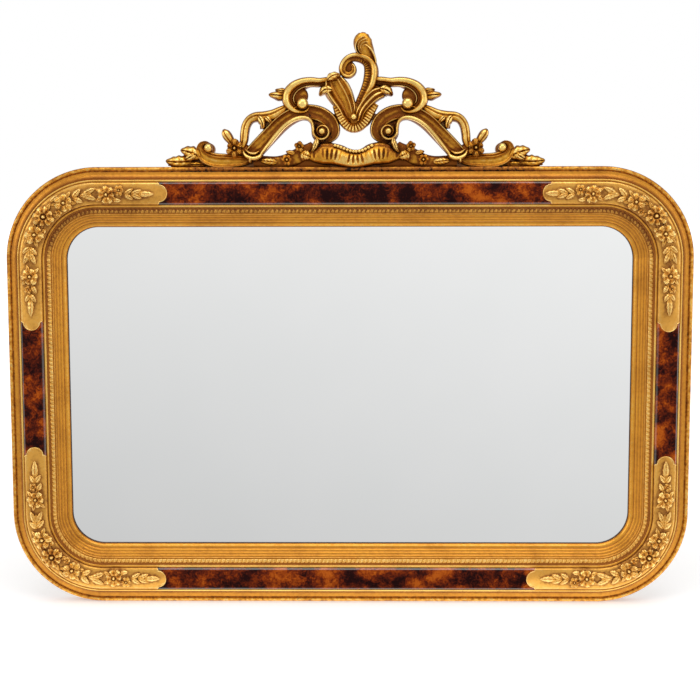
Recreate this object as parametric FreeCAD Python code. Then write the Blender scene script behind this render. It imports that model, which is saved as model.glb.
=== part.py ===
import FreeCAD, Part
import math
import os

V = FreeCAD.Vector
os.makedirs("parts", exist_ok=True)

# A wall mirror in a moulded and gilded frame, in millimetres.
# X runs to the right, Z up, and the front faces -Y. The wall is the plane Y = 0.
# "u" is the distance in from the frame's outer edge, "d" the distance forward from its back.

# Turns, in degrees
QUARTER_TURN = 90
HALF_TURN = 180
FULL_TURN = 360

# Overall sizes
FRAME_WIDTH = 1060.0
FRAME_HEIGHT = 682.0
SIGHT_RADIUS = 50.0
BUMPER_HEIGHT = 8.0

# Widths of the moulding's members, from the outer edge inwards
RIM_WIDTH = 7.0
QUIRK_WIDTH = 1.0
COVE_RADIUS = 12.0
OUTER_FILLET_WIDTH = 3.0
CHANNEL_WIDTH = 35.0
INNER_FILLET_WIDTH = 3.5
STRIP_CHANNEL_WIDTH = 10.5
STRIP_LIP_WIDTH = 1.0
REED_WIDTH = 3.9
REED_COUNT = 3
SIGHT_BEAD_WIDTH = 7.3

# Depths and rises of the moulding's members
SIDE_DEPTH = 22.0
COVE_STEP = 2.0
OUTER_FILLET_RISE = 1.5
CHANNEL_SINK = 4.5
INNER_FILLET_DROP = 1.0
STRIP_CHANNEL_SINK = 6.0
STRIP_LIP_RISE = 1.5
STRIP_LIP_DROP = 2.5
REED_DROP = 3.1
REED_RISE = 0.9
SIGHT_QUIRK = 1.2
SIGHT_BEAD_RISE = 1.4
SIGHT_LIP_THICKNESS = 2.0
REBATE_WIDTH = 8.0

# Glass and what lies behind it
GLASS_THICKNESS = 4.0
PACKING_THICKNESS = 2.0
BACK_BOARD_THICKNESS = 5.0
GLASS_CLEARANCE = 2.0
BACK_BOARD_CLEARANCE = 1.0
WEDGE_LENGTH = 30.0
WEDGE_SPREAD_SHARE = 0.6

# Cushion that fills the channel: four panels and four corner pieces
CUSHION_CLEARANCE = 0.1
CUSHION_SIDE = 3.0
CUSHION_SHOULDER = 5.0
CUSHION_SHOULDER_RISE = 4.5
CUSHION_CROWN_RISE = 1.5
ROUND_MIDDLE_SHARE = 0.707
TONGUE_LENGTH = 12.0
TONGUE_WIDTH = 25.0
NOTCH_LENGTH = 3.5
NOTCH_DIP = 0.7

# How far each corner piece reaches from the frame's outer edge, along the rail and along the stile
TOP_LEFT_REACH = (253.0, 250.0)
TOP_RIGHT_REACH = (236.0, 253.0)
BOTTOM_RIGHT_REACH = (254.0, 236.0)
BOTTOM_LEFT_REACH = (242.0, 250.0)

# Fine ornamented strip
STRIP_WIDTH = 7.5
STRIP_SIDE = 2.0
STRIP_CROWN_RISE = 2.0

# Dowels in the frame's joints
DOWEL_RADIUS = 4.0
DOWEL_LENGTH = 44.0
DOWEL_SPACING = 15.0
DOWEL_CLEARANCE = 0.05
DOWEL_DEPTH_SHARE = 0.5

# Wood screws with countersunk heads
SCREW_RADIUS = 1.75
SCREW_HEAD_RADIUS = 3.4
SCREW_LENGTH = 11.0
SCREW_CLEARANCE = 0.05

# Turn buttons and their round-headed screws
BUTTON_WIDTH = 12.0
BUTTON_REACH = 20.0
BUTTON_THICKNESS = 2.0
BUTTON_PIVOT_INSET = 12.0
BUTTON_GAP = 0.2
BUTTON_BORE_CLEARANCE = 0.3
BUTTON_SCREW_RADIUS = 1.9
BUTTON_SCREW_LENGTH = 16.0
BUTTON_HEAD_RADIUS = 4.0
BUTTON_HEAD_RISE = 2.4
BUTTON_RAIL_SHARE = 0.6

# Hanger straps and D-rings
HANGER_HEIGHT = 150.0
STRAP_WIDTH = 18.0
STRAP_LENGTH = 48.0
STRAP_THICKNESS = 1.4
STRAP_SCREW_SHARES = (0.42, 0.8)
KNUCKLE_LENGTH = 13.0
RING_WIRE_RADIUS = 1.75
RING_BORE_CLEARANCE = 0.3
RING_WIDTH = 24.0
RING_LEG = 6.0
RING_CORNER_RADIUS = 4.0

# Rubber bumpers
BUMPER_RADIUS = 9.0
BUMPER_FACE_RADIUS = 6.5

# Crest
CREST_WIDTH = 585.0
CREST_HEIGHT = 204.0
CREST_OFFSET = 9.0
CREST_BOARD_THICKNESS = 12.0
CREST_BOARD_INSET = 1.6
BAND_SIDE_SHARE = 0.5
SPAN_SAMPLES = 2
ARM_RELIEF = 17.0
LEAF_SCROLL_RELIEF = 19.0
END_SCROLL_RELIEF = 17.0
END_LEAF_RELIEF = 11.0
TENDRIL_RELIEF = 14.0
SWAG_RELIEF = 12.0
SHELL_RELIEF = 24.0
CUP_RELIEF = 16.0
PLUME_LEAF_RELIEF = 20.0
PLUME_RELIEF = 15.0
FINIAL_RELIEF = 15.0
BUD_RELIEF = 10.0

# Mending plates that tie the crest to the top rail
PLATE_WIDTH = 14.0
PLATE_THICKNESS = 2.0
PLATE_RISE = 44.0
PLATE_DROP = 44.0
PLATE_SCREW_SHARES = (0.3, 0.82)
PLATE_PLACE_SHARE = 0.146

# Stations of the crest's carved bands: place as shares of its half width and height,
# then half the band's width as a share of the height. The left side is given.
ARM_SHARES = [(-0.560, 0.075, 0.052), (-0.530, 0.117, 0.058), (-0.486, 0.179, 0.062), (-0.435, 0.252, 0.058),
              (-0.388, 0.324, 0.055), (-0.341, 0.374, 0.050), (-0.292, 0.397, 0.047), (-0.237, 0.401, 0.052)]
VOLUTE_SHARES = (-0.172, 0.256)
VOLUTE_RADIUS_SHARES = (0.112, 0.050)
VOLUTE_BAND_SHARES = (0.045, 0.010)
VOLUTE_START = 55.0
VOLUTE_SWEEP = 290.0
VOLUTE_STEPS = 9
VOLUTE_EYE_SHARE = 0.028
VOLUTE_DISC_SHARE = 0.090
END_SCROLL_SHARES = [(-0.770, 0.180, 0.010), (-0.808, 0.155, 0.020), (-0.818, 0.105, 0.028),
                     (-0.797, 0.063, 0.038), (-0.762, 0.045, 0.046), (-0.715, 0.042, 0.048),
                     (-0.658, 0.043, 0.046), (-0.606, 0.045, 0.040), (-0.562, 0.042, 0.030)]
END_EYE_SHARES = (-0.772, 0.130)
END_EYE_RADIUS_SHARE = 0.031
END_DISC_SHARE = 0.058
END_LEAF_SHARES = [(-0.812, 0.042, 0.038), (-0.850, 0.058, 0.052), (-0.892, 0.050, 0.045),
                   (-0.939, 0.035, 0.033), (-0.985, 0.013, 0.010)]
SPRIG_FLOWER_SHARES = (-0.632, 0.138)
SPRIG_FLOWER_RADIUS_SHARE = 0.058
TENDRIL_SHARES = [SPRIG_FLOWER_SHARES + (0.016,), (-0.600, 0.165, 0.021), (-0.588, 0.219, 0.027),
                  (-0.580, 0.282, 0.029), (-0.557, 0.340, 0.028), (-0.525, 0.371, 0.027),
                  (-0.492, 0.362, 0.034), (-0.455, 0.367, 0.032), (-0.414, 0.397, 0.025),
                  (-0.372, 0.434, 0.015)]
LEAF_SCROLL_SHARES = [(-0.134, 0.640, 0.025), (-0.195, 0.632, 0.029), (-0.247, 0.616, 0.034),
                      (-0.297, 0.579, 0.041), (-0.331, 0.528, 0.043), (-0.338, 0.476, 0.040),
                      (-0.319, 0.436, 0.030), (-0.286, 0.420, 0.016)]
BALL_SHARES = (-0.272, 0.468)
BALL_RADIUS_SHARE = 0.042
LEAF_BUD_SHARES = [(-0.350, 0.528, 0.024), (-0.403, 0.526, 0.023), (-0.429, 0.530, 0.020),
                   (-0.446, 0.532, 0.009)]
SPRIG_BUD_SHARES = [(-0.644, 0.172, 0.018), (-0.661, 0.204, 0.034), (-0.670, 0.226, 0.031),
                    (-0.682, 0.256, 0.010)]
SWAG_SHARES = [(-0.523, 0.044, 0.034), (-0.466, 0.050, 0.040), (-0.409, 0.043, 0.041), (-0.357, 0.054, 0.048),
               (-0.310, 0.079, 0.055), (-0.271, 0.113, 0.052), (-0.242, 0.142, 0.040), (-0.222, 0.172, 0.018)]
SWAG_LOW_FLOWER_SHARES = (-0.356, 0.045)
SWAG_LOW_FLOWER_RADIUS_SHARE = 0.042
SWAG_HIGH_FLOWER_SHARES = (-0.286, 0.135)
SWAG_HIGH_FLOWER_RADIUS_SHARE = 0.040
SHELL_SHARES = [(-0.196, 0.135, 0.044), (-0.151, 0.094, 0.060), (-0.089, 0.068, 0.064), (0.0, 0.056, 0.062),
                (0.089, 0.068, 0.064), (0.151, 0.094, 0.060), (0.196, 0.135, 0.044)]
CUP_SHARES = [(-0.102, 0.452, 0.018), (-0.093, 0.384, 0.025), (-0.065, 0.324, 0.030), (-0.003, 0.293, 0.029),
              (0.059, 0.324, 0.030), (0.087, 0.384, 0.025), (0.102, 0.445, 0.018)]
LEFT_LEAF_SHARES = [(-0.019, 0.366, 0.037), (-0.047, 0.432, 0.057), (-0.076, 0.513, 0.066),
                    (-0.104, 0.587, 0.066), (-0.125, 0.644, 0.038)]
RIGHT_LEAF_SHARES = [(0.012, 0.366, 0.028), (0.041, 0.436, 0.034), (0.080, 0.499, 0.038),
                     (0.124, 0.543, 0.039), (0.171, 0.546, 0.032)]
PLUME_SHARES = [(0.007, 0.403, 0.022), (0.025, 0.469, 0.031), (0.051, 0.550, 0.040), (0.075, 0.631, 0.045),
                (0.085, 0.712, 0.048), (0.070, 0.778, 0.043), (0.028, 0.810, 0.037), (-0.019, 0.815, 0.033),
                (-0.054, 0.782, 0.031), (-0.062, 0.734, 0.027), (-0.046, 0.697, 0.022), (-0.018, 0.700, 0.014)]
FINIAL_SHARES = [(0.082, 0.790, 0.034), (0.062, 0.844, 0.058), (0.045, 0.910, 0.065), (0.043, 0.958, 0.051),
                 (0.045, 0.996, 0.020)]

# Webs of the crest board that join the bands behind them, and the strip along its foot
WEB_SHARES = [[(-0.172, 0.220, 0.050), (-0.165, 0.090, 0.060)],
              [(-0.500, 0.320, 0.045), (-0.425, 0.345, 0.045), (-0.350, 0.425, 0.045)],
              [(-0.632, 0.138, 0.035), (-0.600, 0.060, 0.035)],
              [(-0.150, 0.350, 0.035), (-0.050, 0.390, 0.035)]]
MIDDLE_WEB_SHARES = [(-0.005, 0.350, 0.050), (0.010, 0.445, 0.050)]
FOOT_LENGTH_SHARE = 0.93
FOOT_HEIGHT_SHARE = 0.05

# Flowers: petals and a centre, as shares of the flower's radius
PETAL_COUNT = 6
PETAL_PLACE_SHARE = 0.62
PETAL_RADIUS_SHARE = 0.38
CENTRE_RADIUS_SHARE = 0.34

# Garland on a corner cushion: distance along the cushion from the corner's diagonal, towards the rail,
# then flower radius or leaf length, both as shares of the channel's width.
GARLAND_FLOWER_SHARES = [(-0.24, 0.47), (0.83, 0.41), (-1.12, 0.385), (2.80, 0.40), (-3.00, 0.385)]
GARLAND_LEAF_SHARES = [(1.97, 0.68), (-2.10, 0.62), (3.40, 0.34), (-3.60, 0.37),
                       (3.91, 0.57), (-4.06, 0.48), (4.50, 0.51), (-4.60, 0.48)]
LEAF_PLUMP_SHARE = 0.2

# Places worked out from the sizes above
CHANNEL_START = RIM_WIDTH + QUIRK_WIDTH + COVE_RADIUS + OUTER_FILLET_WIDTH
CHANNEL_END = CHANNEL_START + CHANNEL_WIDTH
CHANNEL_MIDDLE = CHANNEL_START + CHANNEL_WIDTH / 2
STRIP_CHANNEL_START = CHANNEL_END + INNER_FILLET_WIDTH
STRIP_CHANNEL_END = STRIP_CHANNEL_START + STRIP_CHANNEL_WIDTH
REEDS_START = STRIP_CHANNEL_END + STRIP_LIP_WIDTH
REEDS_END = REEDS_START + REED_COUNT * REED_WIDTH
MOULDING_WIDTH = REEDS_END + SIGHT_BEAD_WIDTH
OUTER_RADIUS = SIGHT_RADIUS + MOULDING_WIDTH
REBATE_START = MOULDING_WIDTH - REBATE_WIDTH

COVE_FLOOR = SIDE_DEPTH + COVE_STEP
COVE_TOP = COVE_FLOOR + COVE_RADIUS
OUTER_FILLET_DEPTH = COVE_TOP + OUTER_FILLET_RISE
CHANNEL_FLOOR = OUTER_FILLET_DEPTH - CHANNEL_SINK
INNER_FILLET_DEPTH = OUTER_FILLET_DEPTH - INNER_FILLET_DROP
STRIP_FLOOR = INNER_FILLET_DEPTH - STRIP_CHANNEL_SINK
STRIP_LIP_DEPTH = STRIP_FLOOR + STRIP_LIP_RISE
REEDS_DEPTH = STRIP_LIP_DEPTH - STRIP_LIP_DROP
REBATE_DEPTH = GLASS_THICKNESS + PACKING_THICKNESS + BACK_BOARD_THICKNESS
SIGHT_DEPTH = REBATE_DEPTH + SIGHT_LIP_THICKNESS
CUSHION_TOP = CHANNEL_FLOOR + CUSHION_SIDE + CUSHION_SHOULDER_RISE
CUSHION_CROWN = CUSHION_TOP + CUSHION_CROWN_RISE

HALF_WIDTH = FRAME_WIDTH / 2
HALF_HEIGHT = FRAME_HEIGHT / 2
RAIL_HALF = HALF_WIDTH - OUTER_RADIUS
STILE_HALF = HALF_HEIGHT - OUTER_RADIUS
FORWARD = V(0, -1, 0)

# The four straight sides, taken clockwise as seen from the front
SIDES = {
    "top": (V(-RAIL_HALF, 0, HALF_HEIGHT), V(1, 0, 0), V(0, 0, -1), 2 * RAIL_HALF),
    "right": (V(HALF_WIDTH, 0, STILE_HALF), V(0, 0, -1), V(-1, 0, 0), 2 * STILE_HALF),
    "bottom": (V(RAIL_HALF, 0, -HALF_HEIGHT), V(-1, 0, 0), V(0, 0, 1), 2 * RAIL_HALF),
    "left": (V(-HALF_WIDTH, 0, -STILE_HALF), V(0, 0, 1), V(1, 0, 0), 2 * STILE_HALF),
}
SIDE_NODES = {"top": "top_rail", "right": "right_stile", "bottom": "bottom_rail", "left": "left_stile"}
# The corner at the end of each side, with the reach of its cushion along that side and along the next
END_CORNERS = {
    "top": ("top_right", TOP_RIGHT_REACH[0], TOP_RIGHT_REACH[1]),
    "right": ("bottom_right", BOTTOM_RIGHT_REACH[1], BOTTOM_RIGHT_REACH[0]),
    "bottom": ("bottom_left", BOTTOM_LEFT_REACH[0], BOTTOM_LEFT_REACH[1]),
    "left": ("top_left", TOP_LEFT_REACH[1], TOP_LEFT_REACH[0]),
}
NEXT_SIDE = {"top": "right", "right": "bottom", "bottom": "left", "left": "top"}
PREVIOUS_SIDE = {after: before for before, after in NEXT_SIDE.items()}


def y_at(depth):
    """Y of a depth measured forward from the frame's back."""
    return -(BUMPER_HEIGHT + depth)


def on_side(side, t, u, depth):
    """Point at distance t along a side, u in from its outer edge and a depth from the back."""
    start, along, inward, length = SIDES[side]
    return start + along * t + inward * u + V(0, y_at(depth), 0)


def save(name, shape):
    shape.exportStep("parts/" + name + ".step")


def outline(steps, place):
    """Closed face through lines and arcs; each step is an end point, or a middle and an end point."""
    edges = []
    here = place(*steps[-1][-1])
    for step in steps:
        there = place(*step[-1])
        if len(step) == 1:
            edges.append(Part.LineSegment(here, there).toShape())
        else:
            edges.append(Part.Arc(here, place(*step[0]), there).toShape())
        here = there
    return Part.Face(Part.Wire(edges))


def bulge(start, end, rise):
    """Middle point of an arc between two profile points that rises to the left of the way."""
    du = end[0] - start[0]
    dd = end[1] - start[1]
    length = math.hypot(du, dd)
    return ((start[0] + end[0]) / 2 - rise * dd / length, (start[1] + end[1]) / 2 + rise * du / length)


def moulding_steps():
    """The moulding's section in u and d: rim bead, cove, fillets, channels, reeds, sight bead, rebate."""
    cove_start = RIM_WIDTH + QUIRK_WIDTH
    cove_end = cove_start + COVE_RADIUS
    cove_middle = (cove_start + COVE_RADIUS * ROUND_MIDDLE_SHARE, COVE_TOP - COVE_RADIUS * ROUND_MIDDLE_SHARE)
    steps = [
        [(0, SIDE_DEPTH)],
        [(RIM_WIDTH / 2, SIDE_DEPTH + RIM_WIDTH / 2), (RIM_WIDTH, SIDE_DEPTH)],
        [(cove_start, SIDE_DEPTH)],
        [(cove_start, COVE_FLOOR)],
        [cove_middle, (cove_end, COVE_TOP)],
        [(cove_end, OUTER_FILLET_DEPTH)],
        [(CHANNEL_START, OUTER_FILLET_DEPTH)],
        [(CHANNEL_START, CHANNEL_FLOOR)],
        [(CHANNEL_END, CHANNEL_FLOOR)],
        [(CHANNEL_END, INNER_FILLET_DEPTH)],
        [(STRIP_CHANNEL_START, INNER_FILLET_DEPTH)],
        [(STRIP_CHANNEL_START, STRIP_FLOOR)],
        [(STRIP_CHANNEL_END, STRIP_FLOOR)],
        [(STRIP_CHANNEL_END, STRIP_LIP_DEPTH)],
        [(REEDS_START, STRIP_LIP_DEPTH)],
        [(REEDS_START, REEDS_DEPTH)],
    ]
    for reed in range(REED_COUNT):
        start = (REEDS_START + reed * REED_WIDTH, REEDS_DEPTH - reed * REED_DROP)
        end = (start[0] + REED_WIDTH, start[1] - REED_DROP)
        steps.append([bulge(start, end, REED_RISE), end])
    quirk = (REEDS_END, REEDS_DEPTH - REED_COUNT * REED_DROP - SIGHT_QUIRK)
    sight = (MOULDING_WIDTH, SIGHT_DEPTH)
    steps += [
        [quirk],
        [bulge(quirk, sight, SIGHT_BEAD_RISE), sight],
        [(MOULDING_WIDTH, REBATE_DEPTH)],
        [(REBATE_START, REBATE_DEPTH)],
        [(REBATE_START, 0)],
        [(0, 0)],
    ]
    return steps


def cushion_steps():
    """Section of the cushion: upright sides, round shoulders and a slightly domed top."""
    low = CHANNEL_START + CUSHION_CLEARANCE
    high = CHANNEL_END - CUSHION_CLEARANCE
    side_top = CHANNEL_FLOOR + CUSHION_SIDE
    bend = 1 - ROUND_MIDDLE_SHARE
    return [
        [(low, side_top)],
        [(low + CUSHION_SHOULDER * bend, side_top + CUSHION_SHOULDER_RISE * ROUND_MIDDLE_SHARE),
         (low + CUSHION_SHOULDER, CUSHION_TOP)],
        [(CHANNEL_MIDDLE, CUSHION_CROWN), (high - CUSHION_SHOULDER, CUSHION_TOP)],
        [(high - CUSHION_SHOULDER * bend, side_top + CUSHION_SHOULDER_RISE * ROUND_MIDDLE_SHARE),
         (high, side_top)],
        [(high, CHANNEL_FLOOR)],
        [(low, CHANNEL_FLOOR)],
    ]


def strip_steps():
    """Section of the fine ornamented strip: upright sides and a round top."""
    low = STRIP_CHANNEL_START + (STRIP_CHANNEL_WIDTH - STRIP_WIDTH) / 2
    high = low + STRIP_WIDTH
    side_top = STRIP_FLOOR + STRIP_SIDE
    return [
        [(low, side_top)],
        [((low + high) / 2, side_top + STRIP_CROWN_RISE), (high, side_top)],
        [(high, STRIP_FLOOR)],
        [(low, STRIP_FLOOR)],
    ]


def straight(side, steps):
    """A section carried along a straight side."""
    start, along, inward, length = SIDES[side]
    return outline(steps, lambda u, depth: on_side(side, 0, u, depth)).extrude(along * length)


def corner(side, steps):
    """A section turned through the corner at the end of a side."""
    length = SIDES[side][3]
    face = outline(steps, lambda u, depth: on_side(side, length, u, depth))
    return face.revolve(on_side(side, length, OUTER_RADIUS, 0), V(0, 1, 0), QUARTER_TURN)


def cylinder(centre, direction, radius, length):
    return Part.makeCylinder(radius, length, centre, direction)


def tongue_prism(side, tip, towards):
    """Plan of a corner piece's arm on a side, from beyond the joint to the tongue's tip, as a tall prism."""
    half = CHANNEL_WIDTH / 2
    tongue = TONGUE_WIDTH / 2
    root = tip - towards * TONGUE_LENGTH
    back = root - towards * SIDES[side][3]
    notch = root - towards * NOTCH_LENGTH
    quirk = (root - towards * NOTCH_LENGTH / 2, (half + tongue) / 2)
    steps = [
        [(back, -half)],
        [(notch, -half)],
        [(quirk[0] + towards * NOTCH_DIP, -quirk[1] - NOTCH_DIP), (root, -tongue)],
        [(tip, 0), (root, tongue)],
        [(quirk[0] + towards * NOTCH_DIP, quirk[1] + NOTCH_DIP), (notch, half)],
        [(back, half)],
    ]
    face = outline(steps, lambda t, v: on_side(side, t, CHANNEL_MIDDLE + v, CHANNEL_FLOOR))
    return face.extrude(FORWARD * (CUSHION_CROWN - CHANNEL_FLOOR + CUSHION_SIDE))


# Screw and dowel places
def screw(head, inward_direction, length, head_rise):
    """Countersunk wood screw: cone head flush with the plate it holds, then a plain shank."""
    cone = Part.makeCone(SCREW_HEAD_RADIUS, SCREW_RADIUS, head_rise, head, inward_direction)
    shank = cylinder(head + inward_direction * head_rise, inward_direction, SCREW_RADIUS, length - head_rise)
    return cone.fuse(shank).removeSplitter()


def screw_hole(head, inward_direction, length, head_rise):
    """Hole for a screw, a little wider than it all round."""
    cone = Part.makeCone(SCREW_HEAD_RADIUS + SCREW_CLEARANCE, SCREW_RADIUS + SCREW_CLEARANCE, head_rise,
                         head, inward_direction)
    return cone.fuse(cylinder(head, inward_direction, SCREW_RADIUS + SCREW_CLEARANCE, length + SCREW_CLEARANCE))


# Hangers: strap, knuckle and D-ring on the back of each stile
def hanger(side_sign):
    """Strap with its rolled knuckle, the D-ring hanging down from it, and the strap's two screws."""
    x = side_sign * (HALF_WIDTH - CHANNEL_MIDDLE)
    bore = RING_WIRE_RADIUS + RING_BORE_CLEARANCE
    knuckle_radius = bore + STRAP_THICKNESS
    axis = V(x, y_at(-knuckle_radius), HANGER_HEIGHT)
    across = V(1, 0, 0)
    strap = Part.makeBox(STRAP_WIDTH, STRAP_THICKNESS, STRAP_LENGTH,
                         V(x - STRAP_WIDTH / 2, y_at(0), HANGER_HEIGHT - STRAP_LENGTH))
    barrel = cylinder(axis - across * (KNUCKLE_LENGTH / 2), across, knuckle_radius, KNUCKLE_LENGTH)
    eye = cylinder(axis - across * STRAP_WIDTH, across, bore, 2 * STRAP_WIDTH)
    strap = strap.fuse(barrel).removeSplitter().cut(eye)
    heads = [V(x, y_at(-STRAP_THICKNESS), HANGER_HEIGHT - share * STRAP_LENGTH) for share in STRAP_SCREW_SHARES]
    for head in heads:
        strap = strap.cut(screw_hole(head, FORWARD, SCREW_LENGTH, STRAP_THICKNESS))
    half = RING_WIDTH / 2
    straight_half = half - RING_CORNER_RADIUS
    leg_end = -RING_CORNER_RADIUS - RING_LEG
    ring = cylinder(axis - across * straight_half, across, RING_WIRE_RADIUS, 2 * straight_half)
    wire = Part.Circle(V(straight_half, 0, 0) + axis, across, RING_WIRE_RADIUS).toShape()
    disc = Part.Face(Part.Wire([wire]))
    bend = disc.revolve(axis + V(straight_half, 0, -RING_CORNER_RADIUS), V(0, 1, 0), QUARTER_TURN)
    leg = cylinder(axis + V(half, 0, -RING_CORNER_RADIUS), V(0, 0, -1), RING_WIRE_RADIUS, RING_LEG)
    mirrored = [piece.mirror(axis, across) for piece in (bend, leg)]
    low_circle = Part.Circle(axis + V(half, 0, leg_end), V(0, 0, 1), RING_WIRE_RADIUS)
    low_disc = Part.Face(Part.Wire([low_circle.toShape()]))
    bow = low_disc.revolve(axis + V(0, 0, leg_end), V(0, 1, 0), HALF_TURN)
    ring = ring.multiFuse([bend, leg, bow] + mirrored).removeSplitter()
    return strap, ring, heads


# Crest bands
def crest_point(x_share, z_share):
    return V(CREST_OFFSET + x_share * CREST_WIDTH / 2, 0, HALF_HEIGHT + z_share * CREST_HEIGHT)


def band_curve(stations):
    """Smooth curve through the stations; its Y carries half the band's width."""
    points = [crest_point(x, z) + V(0, width * CREST_HEIGHT, 0) for x, z, width in stations]
    curve = Part.BSplineCurve()
    curve.interpolate(points)
    return curve


def band_samples(stations):
    """Middle, sideways direction and half width at even steps along a band."""
    curve = band_curve(stations)
    count = SPAN_SAMPLES * (len(stations) - 1)
    samples = []
    for step in range(count + 1):
        at = curve.FirstParameter + (curve.LastParameter - curve.FirstParameter) * step / count
        point = curve.value(at)
        way = curve.tangent(at)[0]
        aside = V(-way.z, 0, way.x)
        aside.normalize()
        samples.append((V(point.x, 0, point.z), aside, point.y))
    return samples


def band(stations, relief):
    """Carved band on the crest board: upright sides and a round front, lofted along its samples."""
    sections = []
    widest = max(width for x, z, width in stations) * CREST_HEIGHT
    for middle, aside, half in band_samples(stations):
        rise = relief * (half / widest) ** BAND_SIDE_SHARE
        side = rise * BAND_SIDE_SHARE
        base = V(0, y_at(CREST_BOARD_THICKNESS), 0)
        low_left = middle + aside * half + base
        low_right = middle - aside * half + base
        high_left = low_left + FORWARD * side
        high_right = low_right + FORWARD * side
        crown = middle + base + FORWARD * min(rise, side + half)
        sections.append(Part.Wire([
            Part.LineSegment(low_right, low_left).toShape(),
            Part.LineSegment(low_left, high_left).toShape(),
            Part.Arc(high_left, crown, high_right).toShape(),
            Part.LineSegment(high_right, low_right).toShape(),
        ]))
    return Part.makeLoft(sections, True)


def board_patch(stations):
    """Plan of a band, drawn in a little, as a slab of the crest board."""
    samples = band_samples(stations)
    back = V(0, y_at(0), 0)
    reach = [max(half - CREST_BOARD_INSET, half / 2) for middle, aside, half in samples]
    left = [middle + aside * width + back for (middle, aside, half), width in zip(samples, reach)]
    right = [middle - aside * width + back for (middle, aside, half), width in zip(samples, reach)]
    left_edge = Part.BSplineCurve()
    left_edge.interpolate(left)
    right_edge = Part.BSplineCurve()
    right_edge.interpolate(right)
    edges = [left_edge.toShape(), Part.LineSegment(left[-1], right[-1]).toShape(),
             right_edge.toShape(), Part.LineSegment(right[0], left[0]).toShape()]
    return Part.Face(Part.Wire(Part.__sortEdges__(edges))).extrude(FORWARD * CREST_BOARD_THICKNESS)


def board_disc(shares, radius_share):
    radius = radius_share * CREST_HEIGHT - CREST_BOARD_INSET
    return cylinder(crest_point(*shares) + V(0, y_at(0), 0), FORWARD, radius, CREST_BOARD_THICKNESS)


def half_ball(radius, centre, normal):
    return Part.makeSphere(radius, centre, normal, 0, QUARTER_TURN, FULL_TURN)


def dome(shares, radius_share, relief):
    """Round boss on the crest board: a post with a half ball on its end."""
    radius = radius_share * CREST_HEIGHT
    foot = crest_point(*shares) + V(0, y_at(CREST_BOARD_THICKNESS), 0)
    post = cylinder(foot, FORWARD, radius, relief - radius)
    return post.fuse(half_ball(radius, foot + FORWARD * (relief - radius), FORWARD)).removeSplitter()


def flower(centre, normal, first_petal, radius):
    """Petals and a centre as half balls that stand on one flat foot."""
    across = normal.cross(first_petal)
    balls = [half_ball(CENTRE_RADIUS_SHARE * radius, centre, normal)]
    for petal in range(PETAL_COUNT):
        turn = 2 * math.pi * petal / PETAL_COUNT
        place = centre + (first_petal * math.cos(turn) + across * math.sin(turn)) * (PETAL_PLACE_SHARE * radius)
        balls.append(half_ball(PETAL_RADIUS_SHARE * radius, place, normal))
    return balls[0].multiFuse(balls[1:]).removeSplitter()


def crest_flower(shares, radius_share, relief):
    """Flower on a post that stands on the crest board."""
    radius = radius_share * CREST_HEIGHT
    foot = crest_point(*shares) + V(0, y_at(CREST_BOARD_THICKNESS), 0)
    post = cylinder(foot, FORWARD, radius * PETAL_PLACE_SHARE, relief)
    blossom = flower(foot + FORWARD * relief, FORWARD, V(1, 0, 0), radius)
    return post.fuse(blossom)


def volute_stations():
    """Stations of the spiral that ends the left bracket arm, drawn in evenly as it turns clockwise."""
    stations = []
    for step in range(VOLUTE_STEPS + 1):
        part = step / VOLUTE_STEPS
        angle = math.radians(VOLUTE_START - VOLUTE_SWEEP * part)
        radius = VOLUTE_RADIUS_SHARES[0] * (VOLUTE_RADIUS_SHARES[1] / VOLUTE_RADIUS_SHARES[0]) ** part
        width = VOLUTE_BAND_SHARES[0] * (VOLUTE_BAND_SHARES[1] / VOLUTE_BAND_SHARES[0]) ** part
        x = VOLUTE_SHARES[0] + radius * math.cos(angle) * CREST_HEIGHT / (CREST_WIDTH / 2)
        z = VOLUTE_SHARES[1] + radius * math.sin(angle)
        stations.append((x, z, width))
    return stations


def flipped(shares, side_sign):
    """Shares of the left side as they are, or turned over to the right side."""
    return (-side_sign * shares[0],) + tuple(shares[1:])


def flipped_all(stations, side_sign):
    return [flipped(station, side_sign) for station in stations]


def clear_of(shape, others):
    """The shape with its neighbours cut away where they reach into it; the largest piece is kept."""
    for other in others:
        if shape.BoundBox.intersect(other.BoundBox):
            shape = shape.cut(other)
    return max(shape.Solids, key=lambda solid: solid.Volume)


# Frame: rails, stiles and corner blocks, with holes for dowels and screws
dowel_middle = DOWEL_DEPTH_SHARE * CHANNEL_FLOOR
dowels = []
dowel_holes = []
for side, (start, along, inward, length) in SIDES.items():
    for t in (0, length):
        for offset in (-DOWEL_SPACING / 2, DOWEL_SPACING / 2):
            middle = on_side(side, t, CHANNEL_MIDDLE + offset, dowel_middle)
            foot = middle - along * (DOWEL_LENGTH / 2)
            dowels.append(cylinder(foot, along, DOWEL_RADIUS, DOWEL_LENGTH))
            dowel_holes.append(cylinder(foot - along * DOWEL_CLEARANCE, along, DOWEL_RADIUS + DOWEL_CLEARANCE,
                                        DOWEL_LENGTH + 2 * DOWEL_CLEARANCE))

left_strap, left_ring, left_heads = hanger(-1)
right_strap, right_ring, right_heads = hanger(1)

plate_xs = [CREST_OFFSET + sign * PLATE_PLACE_SHARE * CREST_WIDTH / 2 for sign in (-1, 1)]
plate_zs = [HALF_HEIGHT + share * PLATE_RISE for share in PLATE_SCREW_SHARES]
plate_zs += [HALF_HEIGHT - share * PLATE_DROP for share in PLATE_SCREW_SHARES]
plate_heads = [V(x, y_at(-PLATE_THICKNESS), z) for x in plate_xs for z in plate_zs]

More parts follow.
